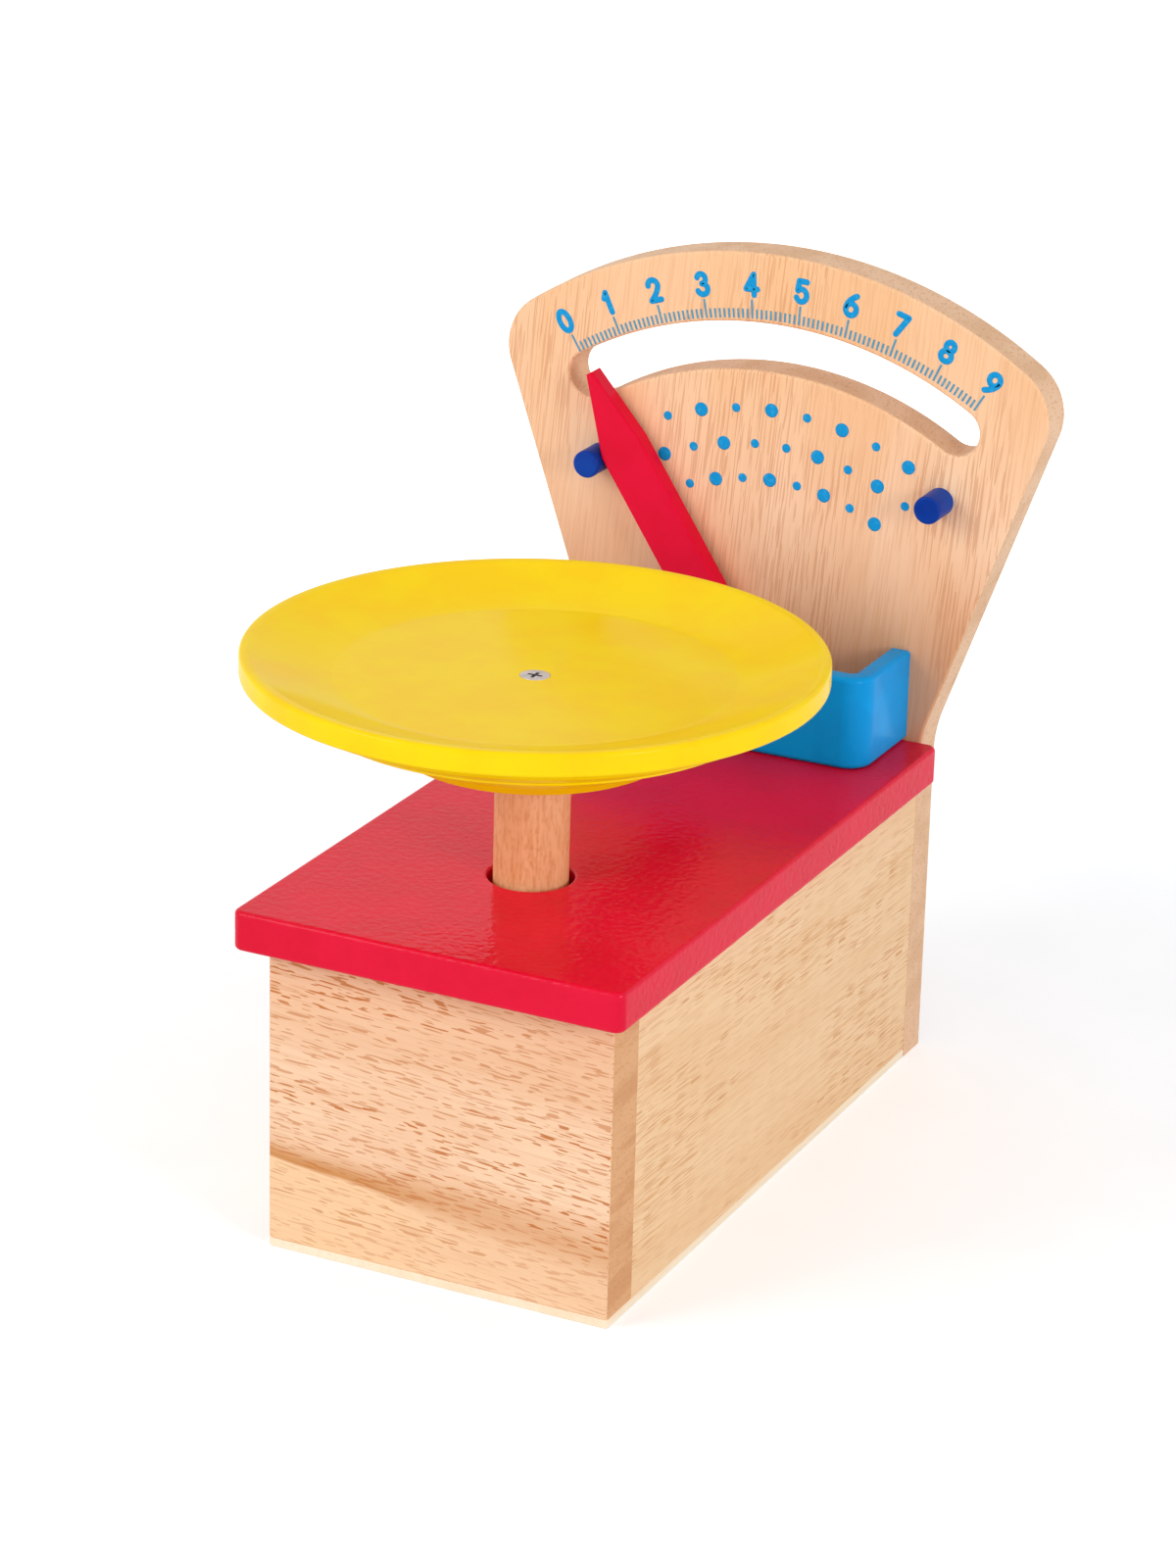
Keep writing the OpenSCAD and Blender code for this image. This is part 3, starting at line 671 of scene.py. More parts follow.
def metal(name, tone, gloss, axis):
    """Drawn or turned steel: fine lines round or along its axis, and slight dulling."""
    line_waves, dull_waves = (3000, 300), 260
    darkening, dulling = 0.72, 0.16
    material, nodes, place = new_material(name)
    lines = nodes.noise(nodes.mapped(place, along(axis, *line_waves)), rough=0.6)
    dull = nodes.noise(place, detail=3, rough=0.6, scale=dull_waves)
    dark = tuple(darkening * value for value in tone[:3]) + (1.0,)
    return surfaced(material, nodes, {
        "Base Color": nodes.mixed(nodes.between(dull, 0.35, 0.75), tone, dark),
        "Metallic": 1,
        "Roughness": nodes.between(dull, 0.3, 0.7, gloss, gloss + dulling),
        "Normal": nodes.raised(lines, strength=0.12, depth=0.03 * MM)})


DOWEL_TONES = "dowel dowel_dark board_pore"
DOWEL = dict(band=(18, 70), band_share=0.3, streak=(160, 900), streak_share=0.45, line=(160, 1300),
             line_share=0.12, fleck=(500, 1600), fleck_share=0.25, crowd_low=0.8, gloss=0.4, shine=0.05)
SIDE_TONES = "side_pale side_tan side_pore"
DIAL_TONES = "dial_pale dial_tan dial_pore"

# Each finish: what makes it, its colours in the sidebar, and what differs from the maker's own values
FINISHES = {
    # The front board gets painted shade towards its top, where the lid's overhang shades it
    "front_board_wood": (wood, "board_pale board_tan board_pore board_sap board_rim", dict(
        grain=0, seam=(21.5 * MM, -0.1, 14 * MM), turn=(0, radians(-4), 0), streak_share=0.3,
        line_share=0.25, fleck=(210, 2100), fleck_cut=(0.625, 0.665), fleck_share=0.9, crowd=(10, 110),
        crowd_low=0.6, rise=(0.03, 0.085), top_shade_share=0.4)),
    "side_board_wood": (wood, SIDE_TONES, dict(
        turn=(radians(2), 0, 0), shift=(0.3, 0.1, 0.2), band_share=0.6, line_share=0.4, fleck_share=0.65,
        crowd_low=0.35)),
    # The dial board gets painted shade towards its top, for weaker light there, and darker, browner painted
    # shade low down by the guard and the pan
    "dial_board_wood": (wood, DIAL_TONES, dict(
        grain=2, turn=(0, radians(-5), 0), band=(7, 26), band_share=0.45, streak=(12, 950),
        streak_share=0.26, line=(26, 1650), line_share=0.36, fleck=(90, 2200), fleck_share=0.35,
        crowd=(12, 30), crowd_low=0.35, rise=(0.16, 0.225), top_shade_share=0.4, foot=(0.115, 0.165),
        low_shade_share=0.5)),
    "base_board_wood": (wood, "base_pale side_pale side_pore", dict(
        band_share=0.3, streak_share=0.2, line_share=0.05, fleck_share=0.08)),
    "front_board_end": (cut_edge, "end_pale end_dark", {}),
    "dial_board_edge": (cut_edge, "edge_pale edge_dark", dict(
        shift=(0.2, 0, 0), band=(60, 90), band_share=0.4)),
    "dowel_wood": (wood, DOWEL_TONES, dict(DOWEL, grain=2)),
    "cross_dowel_wood": (wood, DOWEL_TONES, DOWEL),
    "lever_wood": (wood, SIDE_TONES, dict(shift=(0.7, 0.2, 0.1))),
    "fork_wood": (wood, SIDE_TONES, dict(grain=2, shift=(0.4, 0.6, 0.2))),
    "sleeve_wood": (wood, DIAL_TONES, dict(grain=0, line_share=0.2, fleck_share=0.4)),
    "lid_lacquer": (lacquer, "red red_deep", dict(gloss=0.4, coat=0.52, coat_gloss=0.05, peel=8.0)),
    "pointer_lacquer": (lacquer, "red red_deep", dict(grain=2, coat=0.3)),
    "pan_lacquer": (lacquer, "yellow yellow_deep", dict(peel=0.5, lines=0.1)),
    "guard_lacquer": (lacquer, "blue blue_deep", dict(grain=0, coat_gloss=0.16, peel=1.8)),
    "peg_lacquer": (lacquer, "navy navy_deep", dict(coat=0.3)),
    "number_ink": (ink, "print_blue print_pale", {}),
    "mark_ink": (ink, "tick_grey tick_pale", {}),
    "screw_steel": (metal, "steel", dict(gloss=0.22, axis=2)),
    "pin_steel": (metal, "steel", dict(gloss=0.2, axis=1)),
    "spring_wire": (metal, "spring", dict(gloss=0.26, axis=2)),
}


def finish(kind):
    """The named finish, made once from the colours in the sidebar."""
    name = f"scale_{kind}"
    if name in bpy.data.materials:
        return bpy.data.materials[name]
    maker, tones, changes = FINISHES[kind]
    colours = bpy.context.scene.toy_scale_colours
    return maker(name, *(tuple(getattr(colours, tone)) for tone in tones.split()), **changes)


# Geometry nodes

def node_tree(name, **labels):
    """A geometry tree with a material and the inputs that are listed for each kind, and how to use them."""
    tree = bpy.data.node_groups.new(name, "GeometryNodeTree")
    tree.interface.new_socket("Geometry", in_out="INPUT", socket_type="NodeSocketGeometry")
    for kind, names in {**labels, "Material": "Material"}.items():
        for label in names.split(", "):
            tree.interface.new_socket(label, in_out="INPUT", socket_type=f"NodeSocket{kind}")
    tree.interface.new_socket("Geometry", in_out="OUTPUT", socket_type="NodeSocketGeometry")
    nodes = Nodes(tree)
    given = nodes.node("NodeGroupInput")
    return nodes, lambda label: Value(nodes, given.outputs[label])


def closed_tree(nodes, use, shapes):
    """Ends a geometry tree: its instances are made real and get its material."""
    real = nodes.add("GeometryNodeRealizeInstances", {"Geometry": shapes})
    done = nodes.add("GeometryNodeSetMaterial", {"Geometry": real, "Material": use("Material")})
    nodes.node("NodeGroupOutput", {0: done})
    return nodes.tree


def moved(nodes, points, spot, centre):
    """Points put at spots that are counted from a centre."""
    spot = nodes.add("ShaderNodeVectorMath", {0: spot, 1: centre}, operation="ADD")
    return nodes.add("GeometryNodeSetPosition", {"Geometry": points, "Position": spot})


def grown(name, tree, kind, values, start=None):
    """The plain mesh that a tree makes from its inputs and a finish."""
    item = linked(name, start or bpy.data.meshes.new(name))
    grow = item.modifiers.new("grow", "NODES")
    grow.node_group = tree
    sockets = {s.name: s.identifier for s in tree.interface.items_tree if s.in_out == "INPUT"}
    for label, value in {**values, "Material": finish(kind)}.items():
        grow[sockets[label]] = value
    mesh = baked(item)
    if not len(mesh.polygons):
        raise RuntimeError(f"the tree {tree.name} made nothing")
    return mesh


def mark_tree():
    """Marks on an arc: each a thin bar that points at the centre, the ones under the numbers longer."""
    nodes, use = node_tree("Dial marks", Int="Count", Vector="Centre",
                           Float="First, Step, Radius, Short, Long, Width, Height")
    index = nodes.add("GeometryNodeInputIndex")
    turn = use("First") + index * use("Step")
    long = nodes.calc("COMPARE", nodes.calc("MODULO", index, MARKS_A_STEP), 0, 0.5)
    reach = use("Short") + long * (use("Long") - use("Short"))
    middle = use("Radius") + reach * 0.5
    spot = nodes.vector(X=middle * nodes.calc("SINE", turn), Z=middle * nodes.calc("COSINE", turn))
    row = nodes.add("GeometryNodeMeshLine", {"Count": use("Count")})
    bar = nodes.add("GeometryNodeMeshCube", {"Size": (1, 1, 1)})
    bars = nodes.add("GeometryNodeInstanceOnPoints", {
        "Points": moved(nodes, row, spot, use("Centre")), "Instance": bar, "Rotation": nodes.vector(Y=turn),
        "Scale": nodes.vector(X=use("Width"), Y=use("Height"), Z=reach)})
    return closed_tree(nodes, use, bars)


def dot_tree():
    """Flat round dots on the points that come in, each as wide as its point's size attribute says."""
    nodes, use = node_tree("Dial dots", Float="Height")
    wide = nodes.add("GeometryNodeInputNamedAttribute", {"Name": "dot_width"}, data_type="FLOAT")
    ball = nodes.add("GeometryNodeMeshUVSphere", {"Segments": 20, "Rings": 6, "Radius": 0.5})
    dots = nodes.add("GeometryNodeInstanceOnPoints", {
        "Points": use("Geometry"), "Instance": ball, "Rotation": (pi / 2, 0, 0),
        "Scale": nodes.vector(X=wide, Y=wide, Z=use("Height") * 2)})
    return closed_tree(nodes, use, dots)


def coil_tree():
    """A compression spring: an even coil whose end turns lie close, swept with round wire."""
    nodes, use = node_tree("Return spring", Int="Turns, Points", Vector="Foot",
                           Float="Height, Coil, Wire, End pitch")
    turns = nodes.add("GeometryNodeInputIndex") / use("Points")
    first = nodes.calc("MINIMUM", turns, 1)
    last = nodes.larger(turns - use("Turns") + 1, 0)
    middle = turns - first - last
    room = use("Height") - use("Wire") - use("End pitch") * 2
    pitch = room / (use("Turns") - 2)
    rise = (first + last) * use("End pitch") + middle * pitch
    radius = use("Coil") * 0.5
    half_wire = use("Wire") * 0.5
    sweep = turns * (2 * pi)
    spot = nodes.vector(X=radius * nodes.calc("COSINE", sweep), Y=radius * nodes.calc("SINE", sweep),
                        Z=rise + half_wire)
    path = nodes.add("GeometryNodeCurvePrimitiveLine", {"End": (0, 0, 1)})
    path = nodes.add("GeometryNodeResampleCurve", {
        "Curve": path, "Count": use("Turns") * use("Points") + 1})
    ring = nodes.add("GeometryNodeCurvePrimitiveCircle", {"Resolution": 10, "Radius": half_wire})
    wire = nodes.add("GeometryNodeCurveToMesh", {
        "Curve": moved(nodes, path, spot, use("Foot")), "Profile Curve": ring, "Fill Caps": True})
    return closed_tree(nodes, use, wire)


# Dial print

def bow(x, y, wide, high, start, end, steps=18):
    """Points on an oval, at angles in degrees counted clockwise from its top."""
    return [(x + wide * sin(radians(a)), y + high * cos(radians(a)))
            for a in (start + (end - start) * k / steps for k in range(steps + 1))]


def half_turned(lines):
    """A number turned upside down: a six becomes a nine."""
    return [[(-x, 1 - y) for x, y in line] for line in lines]


# The lines of each number, on a height of 1 and from the middle of its foot
SIX = [[(0.17, 1.0), (0.08, 0.93), (-0.02, 0.84), (-0.12, 0.72), (-0.20, 0.59), (-0.25, 0.46),
        (-0.27, 0.34)] + bow(0, 0.29, 0.27, 0.29, -90, -450, 26)]
NUMBERS = [
    [bow(0, 0.5, 0.27, 0.5, 0, 360, 32)],
    [[(-0.13, 0.74), (0.04, 1.0)], [(0.04, 1.0), (0.04, 0.0)]],
    [bow(0, 0.72, 0.26, 0.28, -82, 100)
     + [(0.20, 0.52), (0.10, 0.36), (-0.02, 0.22), (-0.14, 0.10), (-0.25, 0.0)],
     [(-0.25, 0.0), (0.28, 0.0)]],
    [bow(-0.01, 0.76, 0.22, 0.24, -72, 180), bow(0, 0.26, 0.27, 0.26, 0, 252)],
    [[(0.12, 0.0), (0.12, 1.0)], [(0.12, 1.0), (-0.29, 0.28)], [(-0.29, 0.28), (0.30, 0.28)]],
    [[(0.24, 1.0), (-0.16, 1.0)], [(-0.16, 1.0), (-0.21, 0.55)], bow(0, 0.31, 0.27, 0.31, -48, 244)],
    SIX,
    [[(-0.27, 1.0), (0.26, 1.0)], [(0.26, 1.0), (-0.10, 0.0)]],
    [bow(0, 0.76, 0.21, 0.24, 0, 360, 24), bow(0, 0.26, 0.27, 0.26, 0, 360, 26)],
    half_turned(SIX),
]

# The rings of a brush line's round end: how far out each lies and how wide it is, in half widths. Then the
# sides of a ring, and how near to each other, in widths, the ends of a closed line lie.
BRUSH_END = [(0.42, 0.91), (0.74, 0.67), (0.93, 0.37), (0.995, 0.1)]
BRUSH_SIDES = 10
BRUSH_CLOSED = 0.02


def brush_line(work, points, wide, high):
    """A round-ended brush line on the plane y = 0, low and domed; a closed row of points has no ends."""
    points = [Vector(p) for p in points]
    looped = (points[0] - points[-1]).length < BRUSH_CLOSED * wide
    if looped:
        points.pop()
    total = len(points)
    stations = []
    for i, here in enumerate(points):
        before = points[i - 1] if i or looped else here
        after = points[(i + 1) % total] if i < total - 1 or looped else here
        stations.append((here, (after - before).normalized(), 1.0))
    if not looped:
        first, ahead, _ = stations[0]
        last, on, _ = stations[-1]
        front = [(first - ahead * wide / 2 * reach, ahead, girth) for reach, girth in reversed(BRUSH_END)]
        rear = [(last + on * wide / 2 * reach, on, girth) for reach, girth in BRUSH_END]
        stations = front + stations + rear
    rings = []
    for here, ahead, girth in stations:
        across = Vector((ahead.y, -ahead.x))
        ring = []
        for a in (2 * pi * k / BRUSH_SIDES for k in range(BRUSH_SIDES)):
            spot = here + across * (wide / 2 * girth * cos(a))
            ring.append(work.verts.new((spot.x, high * girth * sin(a), spot.y)))
        rings.append(ring)
    for low, up in list(zip(rings, rings[1:])) + ([(rings[-1], rings[0])] if looped else []):
        for k in range(BRUSH_SIDES):
            n = (k + 1) % BRUSH_SIDES
            work.faces.new((low[k], low[n], up[n], up[k]))
    if not looped:
        work.faces.new(rings[0][::-1])
        work.faces.new(rings[-1])


# Operators

class Step:
    """What the operators share."""

    bl_options = {"REGISTER", "UNDO"}


class TOYSCALE_OT_stage(Step, Operator):
    """Make the floor, the lamps, the white surroundings and the camera"""

    bl_idname = "toy_scale.stage"
    bl_label = "Stage, lamps and camera"

    # Where the camera stands round its target, and the picture's own lens
    azimuth, elevation, roll = radians(25.824), radians(20.900), radians(1.461)
    distance, sensor = 1.347827, 36.0
    lens = 4871.54 / 1600 * sensor
    target = Vector((-0.029319, 0.053359, 0.086868))

    # The lamps' sizes and places, and the point that they face
    lamps = {"key": (0.6, Vector((-0.75, -0.95, 0.75))), "fill": (0.35, Vector((1.15, -0.55, 0.5))),
             "top": (1.2, Vector((0.1, 0.15, 1.3)))}
    lit_point = Vector((0, 0, 0.1))

    # Upward slopes between which the light from all round passes into the light from above
    room_slopes = (0.1, 0.9)

    # Half the floor's width, its two whites, and its glow, which grows between two distances
    floor_reach = 6.0
    floor_whites = (0.83, 0.86, 0.89, 1), (0.85, 0.88, 0.91, 1)
    glow_ramp = (0.25, 0.8, 0.32, 1.0)

    def execute(self, context):
        scene = context.scene
        scene.view_settings.view_transform = "Standard"
        self.make_camera(scene)
        self.make_world(scene)
        self.make_floor()
        for name, (size, place) in self.lamps.items():
            self.make_lamp(f"{name}_lamp", getattr(scene.toy_scale_light, name), size, place)
        return {"FINISHED"}

    def make_camera(self, scene):
        camera = bpy.data.cameras.new("camera")
        camera.sensor_width, camera.lens = self.sensor, self.lens
        camera.clip_start, camera.clip_end = 0.05, 30.0
        holder = linked("camera", camera)
        back = Vector((sin(self.azimuth) * cos(self.elevation), -cos(self.azimuth) * cos(self.elevation),
                       sin(self.elevation)))
        right = Vector((cos(self.azimuth), sin(self.azimuth), 0))
        up = back.cross(right)
        c, s = cos(self.roll), sin(self.roll)
        turn = Matrix((c * right + s * up, c * up - s * right, back)).transposed().to_4x4()
        holder.matrix_world = Matrix.Translation(self.target + back * self.distance) @ turn
        scene.camera = holder

    def make_world(self, scene):
        world = bpy.data.worlds.new("white_room")
        scene.world = world
        world.use_nodes = True
        nodes = Nodes(world.node_tree)
        light = scene.toy_scale_light
        _, _, z = nodes.parts(nodes.add("ShaderNodeNewGeometry", output="Incoming"))
        level = nodes.between(z * -1, *self.room_slopes, light.around, light.above)
        seen = self.seen_rays(nodes)
        strength = level * (1 - seen) + seen
        room = nodes.add("ShaderNodeBackground", {"Color": (1, 1, 1, 1), "Strength": strength})
        nodes.node("ShaderNodeOutputWorld", {"Surface": room})

    def seen_rays(self, nodes):
        """One for rays that a viewer sees the background with: straight, reflected or through glass."""
        camera, glossy, through = (nodes.add("ShaderNodeLightPath", output=f"Is {kind} Ray")
                                   for kind in ("Camera", "Glossy", "Transmission"))
        return nodes.larger(nodes.larger(camera, glossy), through)

    def make_floor(self):
        work = bmesh.new()
        bmesh.ops.create_grid(work, x_segments=8, y_segments=8, size=self.floor_reach)
        floor = linked("floor", written(work, bpy.data.meshes.new("floor")))
        material, nodes, place = new_material("floor_white")
        far = nodes.add("ShaderNodeVectorMath", {0: place}, output="Value", operation="LENGTH")
        glow = nodes.between(far, *self.glow_ramp) * self.seen_rays(nodes)
        speckle = nodes.between(nodes.noise(place, scale=30), 0.3, 0.7)
        both = nodes.add("ShaderNodeAddShader", {
            0: nodes.add("ShaderNodeEmission", {"Strength": glow}),
            1: nodes.add("ShaderNodeBsdfDiffuse", {"Color": nodes.mixed(speckle, *self.floor_whites)})})
        nodes.node("ShaderNodeOutputMaterial", {"Surface": both})
        floor.data.materials.append(material)

    def make_lamp(self, name, watts, size, place):
        lamp = bpy.data.lights.new(name, "AREA")
        lamp.energy, lamp.size = watts, size
        holder = linked(name, lamp)
        holder.location = place
        holder.rotation_mode = "QUATERNION"
        holder.rotation_quaternion = (self.lit_point - place).to_track_quat("-Z", "Y")


class TOYSCALE_OT_box(Step, Operator):
    """Make the base, front and side boards with rounded edges and their own grain"""

    bl_idname = "toy_scale.box"
    bl_label = "Box boards"

    # The holes in the base board, and how squarely a face looks to the side where it is end grain
    screw_holes, end_facing = 6, 0.8

    def execute(self, context):
        edges = context.scene.toy_scale_edges
        front = rounded_board("front_board", Z, edges.board)
        paint_faces(front, lambda normal: abs(normal.x) > self.end_facing)
        dress("front_board", "wood", front, "box", "pale_wood", "front_board_wood", "front_board_end")
        for node in ("left_side_board", "right_side_board"):
            dress(node, "wood", rounded_board(node, Z, edges.board), "box", "pale_wood", "side_board_wood")
        base = rounded_board("base_board", -Z, edges.base, 1 + self.screw_holes)
        dress("base_board", "wood", base, "box", "pale_wood", "base_board_wood")
        dress_solids("cross_dowel_wood", "frame_dowels")
        dress_solids("dowel_wood", "lid_dowels")
        dress_solids("screw_steel", "base_screws")
        return {"FINISHED"}


class TOYSCALE_OT_dial_board(Step, Operator):
    """Make the fan-shaped dial board with its curved slot"""

    bl_idname = "toy_scale.dial_board"
    bl_label = "Dial board"

    # How squarely a face looks to the front or the back where it isn't a cut edge
    front_facing = 0.55

    def execute(self, context):
        board = rounded_board("dial_board", -Y, context.scene.toy_scale_edges.dial, outlines=2, steps=5)
        paint_faces(board, lambda normal: abs(normal.y) < self.front_facing)
        dress("dial_board", "wood", board, "box", "panel_wood", "dial_board_wood", "dial_board_edge")
        return {"FINISHED"}


class TOYSCALE_OT_dial_print(Step, Operator):
    """Print the marks, the numbers from 0 to 9 and the two kinds of dots on the dial board"""

    bl_idname = "toy_scale.dial_print"
    bl_label = "Dial print"

    # Radius of each row of dots, the step where it starts, and its large and small dots from left to right
    dot_rows = [(89.2, -4.0, "SSLSLSLSL"), (79.0, -3.5, "LSLSSLSLS"), (68.8, -3.0, "SLSLSLSL")]

    def execute(self, context):
        dial = context.scene.toy_scale_dial
        centre = Vector((dial.right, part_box("dial_board")[0].y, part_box("lid")[1].z + dial.up))
        self.place_print("dial_marks", self.marks(dial, centre), "mark_ink")
        self.place_print("dial_dots", self.dots(dial, centre), "number_ink")
        self.place_print("dial_numbers", self.numbers(dial, centre), "number_ink")
        return {"FINISHED"}

    def place_print(self, name, mesh, kind):
        place_piece(name, mesh, "box", [kind])

    def marks(self, dial, centre):
        return grown("dial_marks", mark_tree(), "mark_ink", {
            "Count": LAST_NUMBER * MARKS_A_STEP + 1, "Centre": centre, "First": dial.turn + dial.first,
            "Step": dial.step / MARKS_A_STEP, "Radius": dial.tick_in, "Short": dial.tick_short,
            "Long": dial.tick_long, "Width": dial.tick_wide, "Height": 2 * dial.ink})

    def dots(self, dial, centre):
        spots, widths = [], []
        for radius, start, sizes in self.dot_rows:
            for k, size in enumerate(sizes):
                turn = dial.turn + dial.step * (start + k)
                spots.append(centre + radius * MM * Vector((sin(turn), 0, cos(turn))))
                widths.append(dial.dot_large if size == "L" else dial.dot_small)
        points = bpy.data.meshes.new("dot_spots")
        points.from_pydata(spots, [], [])
        points.attributes.new("dot_width", "FLOAT", "POINT").data.foreach_set("value", widths)
        mesh = grown("dial_dots", dot_tree(), "number_ink", {"Height": dial.ink}, points)
        mesh.shade_smooth()
        return mesh

    def numbers(self, dial, centre):
        work = bmesh.new()
        rise = dial.digit_high - dial.digit_line
        for value, lines in enumerate(NUMBERS):
            before = len(work.verts)
            for line in lines:
                brush_line(work, [(x * rise, (y - 0.5) * rise) for x, y in line], dial.digit_line, dial.ink)
            work.verts.ensure_lookup_table()
            turn = Matrix.Rotation(dial.turn + dial.first + value * dial.step, 4, "Y")
            move = Matrix.Translation(centre) @ turn @ Matrix.Translation(Z * dial.digit_radius)
            bmesh.ops.transform(work, verts=work.verts[before:], matrix=move)
        bmesh.ops.recalc_face_normals(work, faces=work.faces)
        mesh = written(work, bpy.data.meshes.new("dial_numbers"))
        mesh.shade_smooth()
        return mesh


class TOYSCALE_OT_lid(Step, Operator):
    """Make the lacquered lid with its round edges, its post hole and its notch for the fork"""

    bl_idname = "toy_scale.lid"
    bl_label = "Lid"

    corner, corner_steps = 3 * MM, 12
    post_gap = 1.5 * MM

    # How far the cutters stand out of the lid, and how far the notch's corners lie inside it at least
    over, inset = 2 * MM, 8 * MM

    def execute(self, context):
        low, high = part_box("lid")
        edges = context.scene.toy_scale_edges
        lid = plate([self.outline(low, high)], X, Y, low.z, high.z, edges.lid, 7)
        lid = shaded(carved(lid, [self.hole(low.z, high.z, edges.hole), self.notch(low, high)]))
        dress("lid", "lacquered", lid, "box", "red_lacquer", "lid_lacquer")
        return {"FINISHED"}

    def outline(self, low, high):
        """The lid from above, with round corners."""
        row = []
        for sx, sy, start in ((1, 1, 0), (-1, 1, 90), (-1, -1, 180), (1, -1, 270)):
            middle = Vector(((low.x + high.x) / 2 + sx * ((high.x - low.x) / 2 - self.corner),
                             (low.y + high.y) / 2 + sy * ((high.y - low.y) / 2 - self.corner), 0))
            for k in range(self.corner_steps + 1):
                a = radians(start + 90 * k / self.corner_steps)
                row.append(middle + self.corner * Vector((cos(a), sin(a), 0)))
        return row

    def hole(self, low, high, edge):
        """The room that is cut out for the post, from level low to level high, with round edges."""
        foot, radius, _ = stand("pan_post")
        foot.z = low
        radius += self.post_gap
        wide, tall = radius + 2 * edge, high - low
        return turned(filleted([
            (0, -self.over, 0), (wide, -self.over, 0), (wide, 0, 0), (radius, 0, edge),
            (radius, tall, edge), (wide, tall, 0), (wide, tall + self.over, 0),
            (0, tall + self.over, 0)], 5), foot)

    def notch(self, low, high):
        """The notch, read from the solid: the corners of its outline that lie well inside the lid."""
        inside = [p for p in face_loops("lid", Z)[0]
                  if abs(p.x) < high.x - self.inset and low.y + self.inset < p.y < high.y + self.inset]
        return block(Vector((min(p.x for p in inside), min(p.y for p in inside), low.z - self.over)),
                     Vector((max(p.x for p in inside), high.y + self.over, high.z + self.over)))


class TOYSCALE_OT_guard(Step, Operator):
    """Make the blue guard round the pointer's foot and the two stop pegs"""

    bl_idname = "toy_scale.guard"
    bl_label = "Pointer guard and pegs"

    def execute(self, context):
        edges = context.scene.toy_scale_edges
        guard = rounded_board("pointer_guard", Z, edges.guard)
        dress("pointer_guard", "lacquered", guard, "box", "blue_lacquer", "guard_lacquer")
        for node in ("left_stop_peg", "right_stop_peg"):
            mesh = peg(*stand(node, 1), edges.peg, edges.peg / 2, Y, 48)
            dress(node, "lacquered", mesh, "box", "dark_blue_lacquer", "peg_lacquer")
        return {"FINISHED"}


class TOYSCALE_OT_pointer(Step, Operator):
    """Make the pointer, and finish the pins that it turns on and is driven by"""

    bl_idname = "toy_scale.pointer"
    bl_label = "Pointer"

    def execute(self, context):
        pointer = rounded_board("pointer", -Y, context.scene.toy_scale_edges.pointer)
        dress("pointer", "lacquered", pointer, "pointer", "red_lacquer", "pointer_lacquer")
        dress_solids("pin_steel", "pivot_screw", "pivot_spacer", "drive_pin")
        return {"FINISHED"}


class TOYSCALE_OT_pan(Step, Operator):
    """Turn the yellow pan with its rolled rim, grooved side and shallow dish, and its cross-head screw"""

    bl_idname = "toy_scale.pan"
    bl_label = "Pan and screw"

    # Outside of the pan from its foot up, in millimetres from the axis and from the foot, with roundings
    foot_side = [(34.0, 0.0, 0.6), (36.0, 0.2, 1.5), (40.0, 3.4, 6.0), (50.0, 7.8, 20.0), (58.9, 11.5, 3.0),
                 (60.5, 12.2, 0.2)]
    cove = [(60.9, 12.9, 0.3), (70.1, 17.2, 3.0), (72.3, 19.2, 0.4)]
    rim = [(74.1, 20.0, 0.3), (76.5, 20.0, 2.2), (76.5, 26.5, 2.4)]

    # Radii of the dish's edge and floor and the power of its curve, and then, as radius and depth, the way
    # from the floor into the screw's recess
    dish_edge, dish_floor, dish_curve = 74.1, 52.0, 1.35
    recess = [(30.0, 0.0), (8.0, 0.0), (4.15, 0.0), (4.06, 0.1), (2.05, 2.4), (0, 2.4)]

    # The screw in head radii: the radius of its shank, the depth of its cone, and the arm, half width and
    # depth of its cross. Then the height of its head's edge, and the roundings of its head and its tip.
    shank, cone = 0.5, 0.65
    cross_arm, cross_half, cross_deep = 0.52, 0.12, 0.35
    land, head_edge, tip_edge = 0.15 * MM, 0.1 * MM, 0.5 * MM

    def execute(self, context):
        pan = context.scene.toy_scale_pan
        foot, _, tall = stand("pan")
        rise, floor = tall / MM, (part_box("pan_screw")[1].z - foot.z) / MM
        outside = self.foot_side + self.cove + self.rim
        profile = filleted([(0, 0, 0)] + outside + [(self.dish_edge, rise, 0)], 7)
        for k in range(1, pan.dish_steps + 1):
            u = 1 - k / pan.dish_steps
            profile.append((self.dish_floor + u * (self.dish_edge - self.dish_floor),
                            floor + (rise - floor) * u ** self.dish_curve))
        profile += [(r, floor - deep) for r, deep in self.recess]
        mesh = shaded(turned([(r * MM, h * MM) for r, h in profile], foot, Z, pan.segments), 28)
        dress("pan", "lacquered", mesh, "pan_and_post", "yellow_lacquer", "pan_lacquer")
        dress("pan_screw", "head", self.screw(), "pan_and_post", "steel", "screw_steel")
        return {"FINISHED"}

    def screw(self):
        """The countersunk screw with its cross, drawn down from the top of its head."""
        foot, radius, deep = stand("pan_screw")
        top = foot + Z * deep
        shank, cone = self.shank * radius, self.cone * radius
        head = turned(filleted([
            (0, -deep, 0), (shank, -deep, self.tip_edge), (shank, -cone, 0), (radius, -self.land, 0),
            (radius, 0, self.head_edge), (0, 0, 0)]), top, Z, 64)
        arm, half, depth = self.cross_arm * radius, self.cross_half * radius, self.cross_deep * radius
        cross = [block(top + Vector((-a, -b, -depth)), top + Vector((a, b, MM)))
                 for a, b in ((arm, half), (half, arm))]
        return shaded(carved(head, cross), 30)


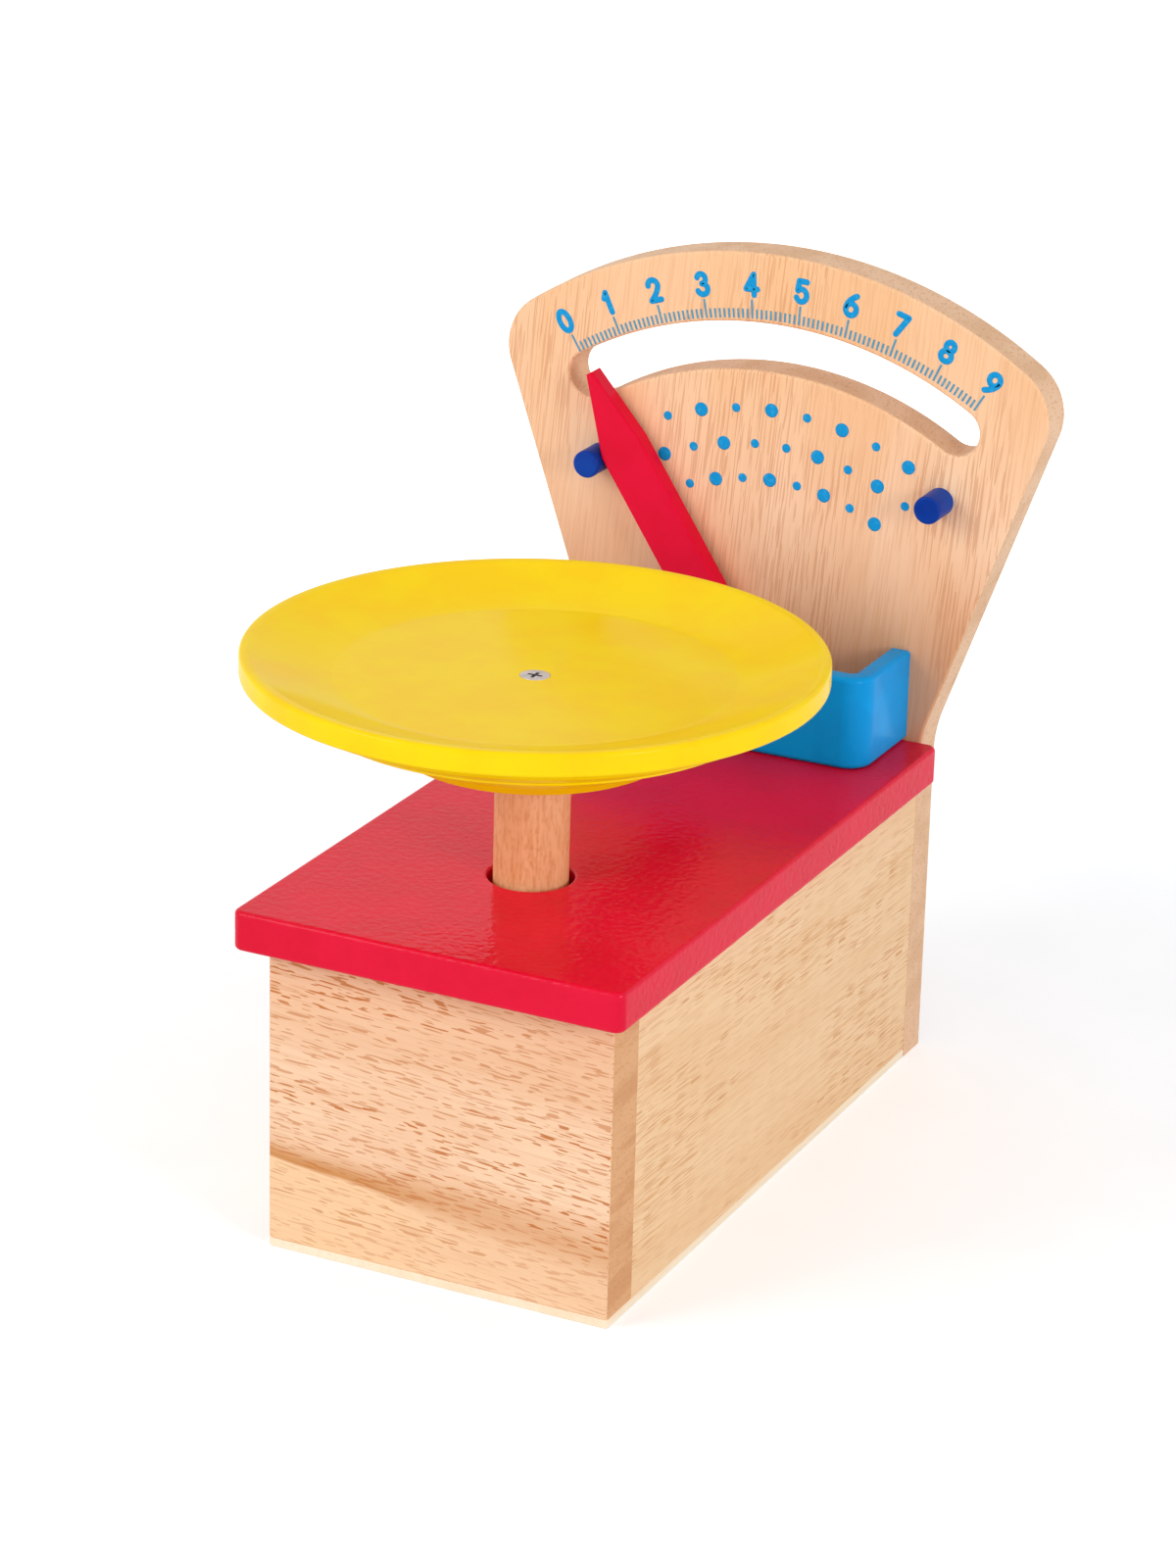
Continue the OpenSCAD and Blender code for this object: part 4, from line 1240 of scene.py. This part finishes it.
class TOYSCALE_OT_post(Step, Operator):
    """Turn the post and the disc that keeps it in the lid"""

    bl_idname = "toy_scale.post"
    bl_label = "Post and foot"

    def execute(self, context):
        edges = context.scene.toy_scale_edges
        for node, edge in (("pan_post", edges.post), ("post_foot", edges.disc)):
            mesh = peg(*stand(node), edge, edge, steps=4)
            dress(node, "wood", mesh, "pan_and_post", "dowel_wood", "dowel_wood")
        dress_solids("screw_steel", "foot_screw")
        return {"FINISHED"}


class TOYSCALE_OT_lever(Step, Operator):
    """Make the lever beam and its fork, and finish the axle and its sleeves"""

    bl_idname = "toy_scale.lever"
    bl_label = "Lever"

    def execute(self, context):
        edge = context.scene.toy_scale_edges.lever
        beam = rounded_board("rocker_beam", X, edge, steps=3)
        dress("rocker_beam", "wood", beam, "rocker", "pale_wood", "lever_wood")
        fork = rounded_board("fork_upright", self.fork_normal(), edge, steps=3)
        dress("fork_upright", "wood", fork, "rocker", "pale_wood", "fork_wood")
        dress_solids("pin_steel", "rocker_axle")
        dress_solids("sleeve_wood", "left_axle_sleeve", "right_axle_sleeve")
        return {"FINISHED"}

    def fork_normal(self):
        """The direction that the fork's broad faces look in: that of its largest face to the front."""
        faces = [f for f in frame["nodes"]["fork_upright"].data.polygons if f.normal.y < -0.9]
        return max(faces, key=lambda face: face.area).normal.copy()


class TOYSCALE_OT_spring(Step, Operator):
    """Wind the return spring on its seat"""

    bl_idname = "toy_scale.spring"
    bl_label = "Return spring"

    def execute(self, context):
        spring = context.scene.toy_scale_spring
        low, _, tall = stand("return_spring")
        foot, _, _ = stand("spring_seat")
        foot.z = low.z
        mesh = grown("return_spring", coil_tree(), "spring_wire", {
            "Turns": spring.turns, "Points": spring.points, "Foot": foot, "Height": tall,
            "Coil": spring.coil, "Wire": spring.wire, "End pitch": spring.wire + spring.end_gap})
        mesh.shade_smooth()
        piece = dress("return_spring", "wire", welded(mesh), "box", "spring_steel", "spring_wire")
        slide = next(joint for joint in frame["joints"] if joint["name"] == "pan_slide")
        travel = -slide["range_m"][0]
        (tall - travel) / tall
        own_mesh(piece)
        dress_solids("dowel_wood", "spring_seat")
        return {"FINISHED"}


class TOYSCALE_PT_sidebar(Panel):
    """Sizes, colours and steps of the toy scale"""

    bl_label = "Toy Scale"
    bl_idname = "TOYSCALE_PT_sidebar"
    bl_space_type = "VIEW_3D"
    bl_region_type = "UI"
    bl_category = "Toy Scale"

    def draw(self, context):
        for name in GROUPS:
            column = self.layout.column(heading=name.capitalize())
            settings = getattr(context.scene, f"toy_scale_{name}")
            for key in type(settings).__annotations__:
                column.prop(settings, key)
        for step in STEPS:
            self.layout.operator(step.bl_idname)


GROUPS = {"edges": ToyScaleEdges, "dial": ToyScaleDial, "pan": ToyScalePan, "spring": ToyScaleSpring,
          "colours": ToyScaleColours, "light": ToyScaleLight}
STEPS = [TOYSCALE_OT_stage, TOYSCALE_OT_box, TOYSCALE_OT_dial_board, TOYSCALE_OT_dial_print,
         TOYSCALE_OT_lid, TOYSCALE_OT_guard, TOYSCALE_OT_pointer, TOYSCALE_OT_pan, TOYSCALE_OT_post,
         TOYSCALE_OT_lever, TOYSCALE_OT_spring]


def register():
    for name, group in GROUPS.items():
        bpy.utils.register_class(group)
        setattr(bpy.types.Scene, f"toy_scale_{name}", PointerProperty(type=group))
    for step in STEPS + [TOYSCALE_PT_sidebar]:
        bpy.utils.register_class(step)


def unregister():
    for step in [TOYSCALE_PT_sidebar] + STEPS[::-1]:
        bpy.utils.unregister_class(step)
    for name, group in reversed(GROUPS.items()):
        delattr(bpy.types.Scene, f"toy_scale_{name}")
        bpy.utils.unregister_class(group)


def main():
    """Registers the add-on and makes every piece."""
    register()
    bpy.ops.toy_scale.stage()
    bpy.ops.toy_scale.box()
    bpy.ops.toy_scale.dial_board()
    bpy.ops.toy_scale.dial_print()
    bpy.ops.toy_scale.lid()
    bpy.ops.toy_scale.guard()
    bpy.ops.toy_scale.pointer()
    bpy.ops.toy_scale.pan()
    bpy.ops.toy_scale.post()
    bpy.ops.toy_scale.lever()
    bpy.ops.toy_scale.spring()


if __name__ == "__main__":
    main()
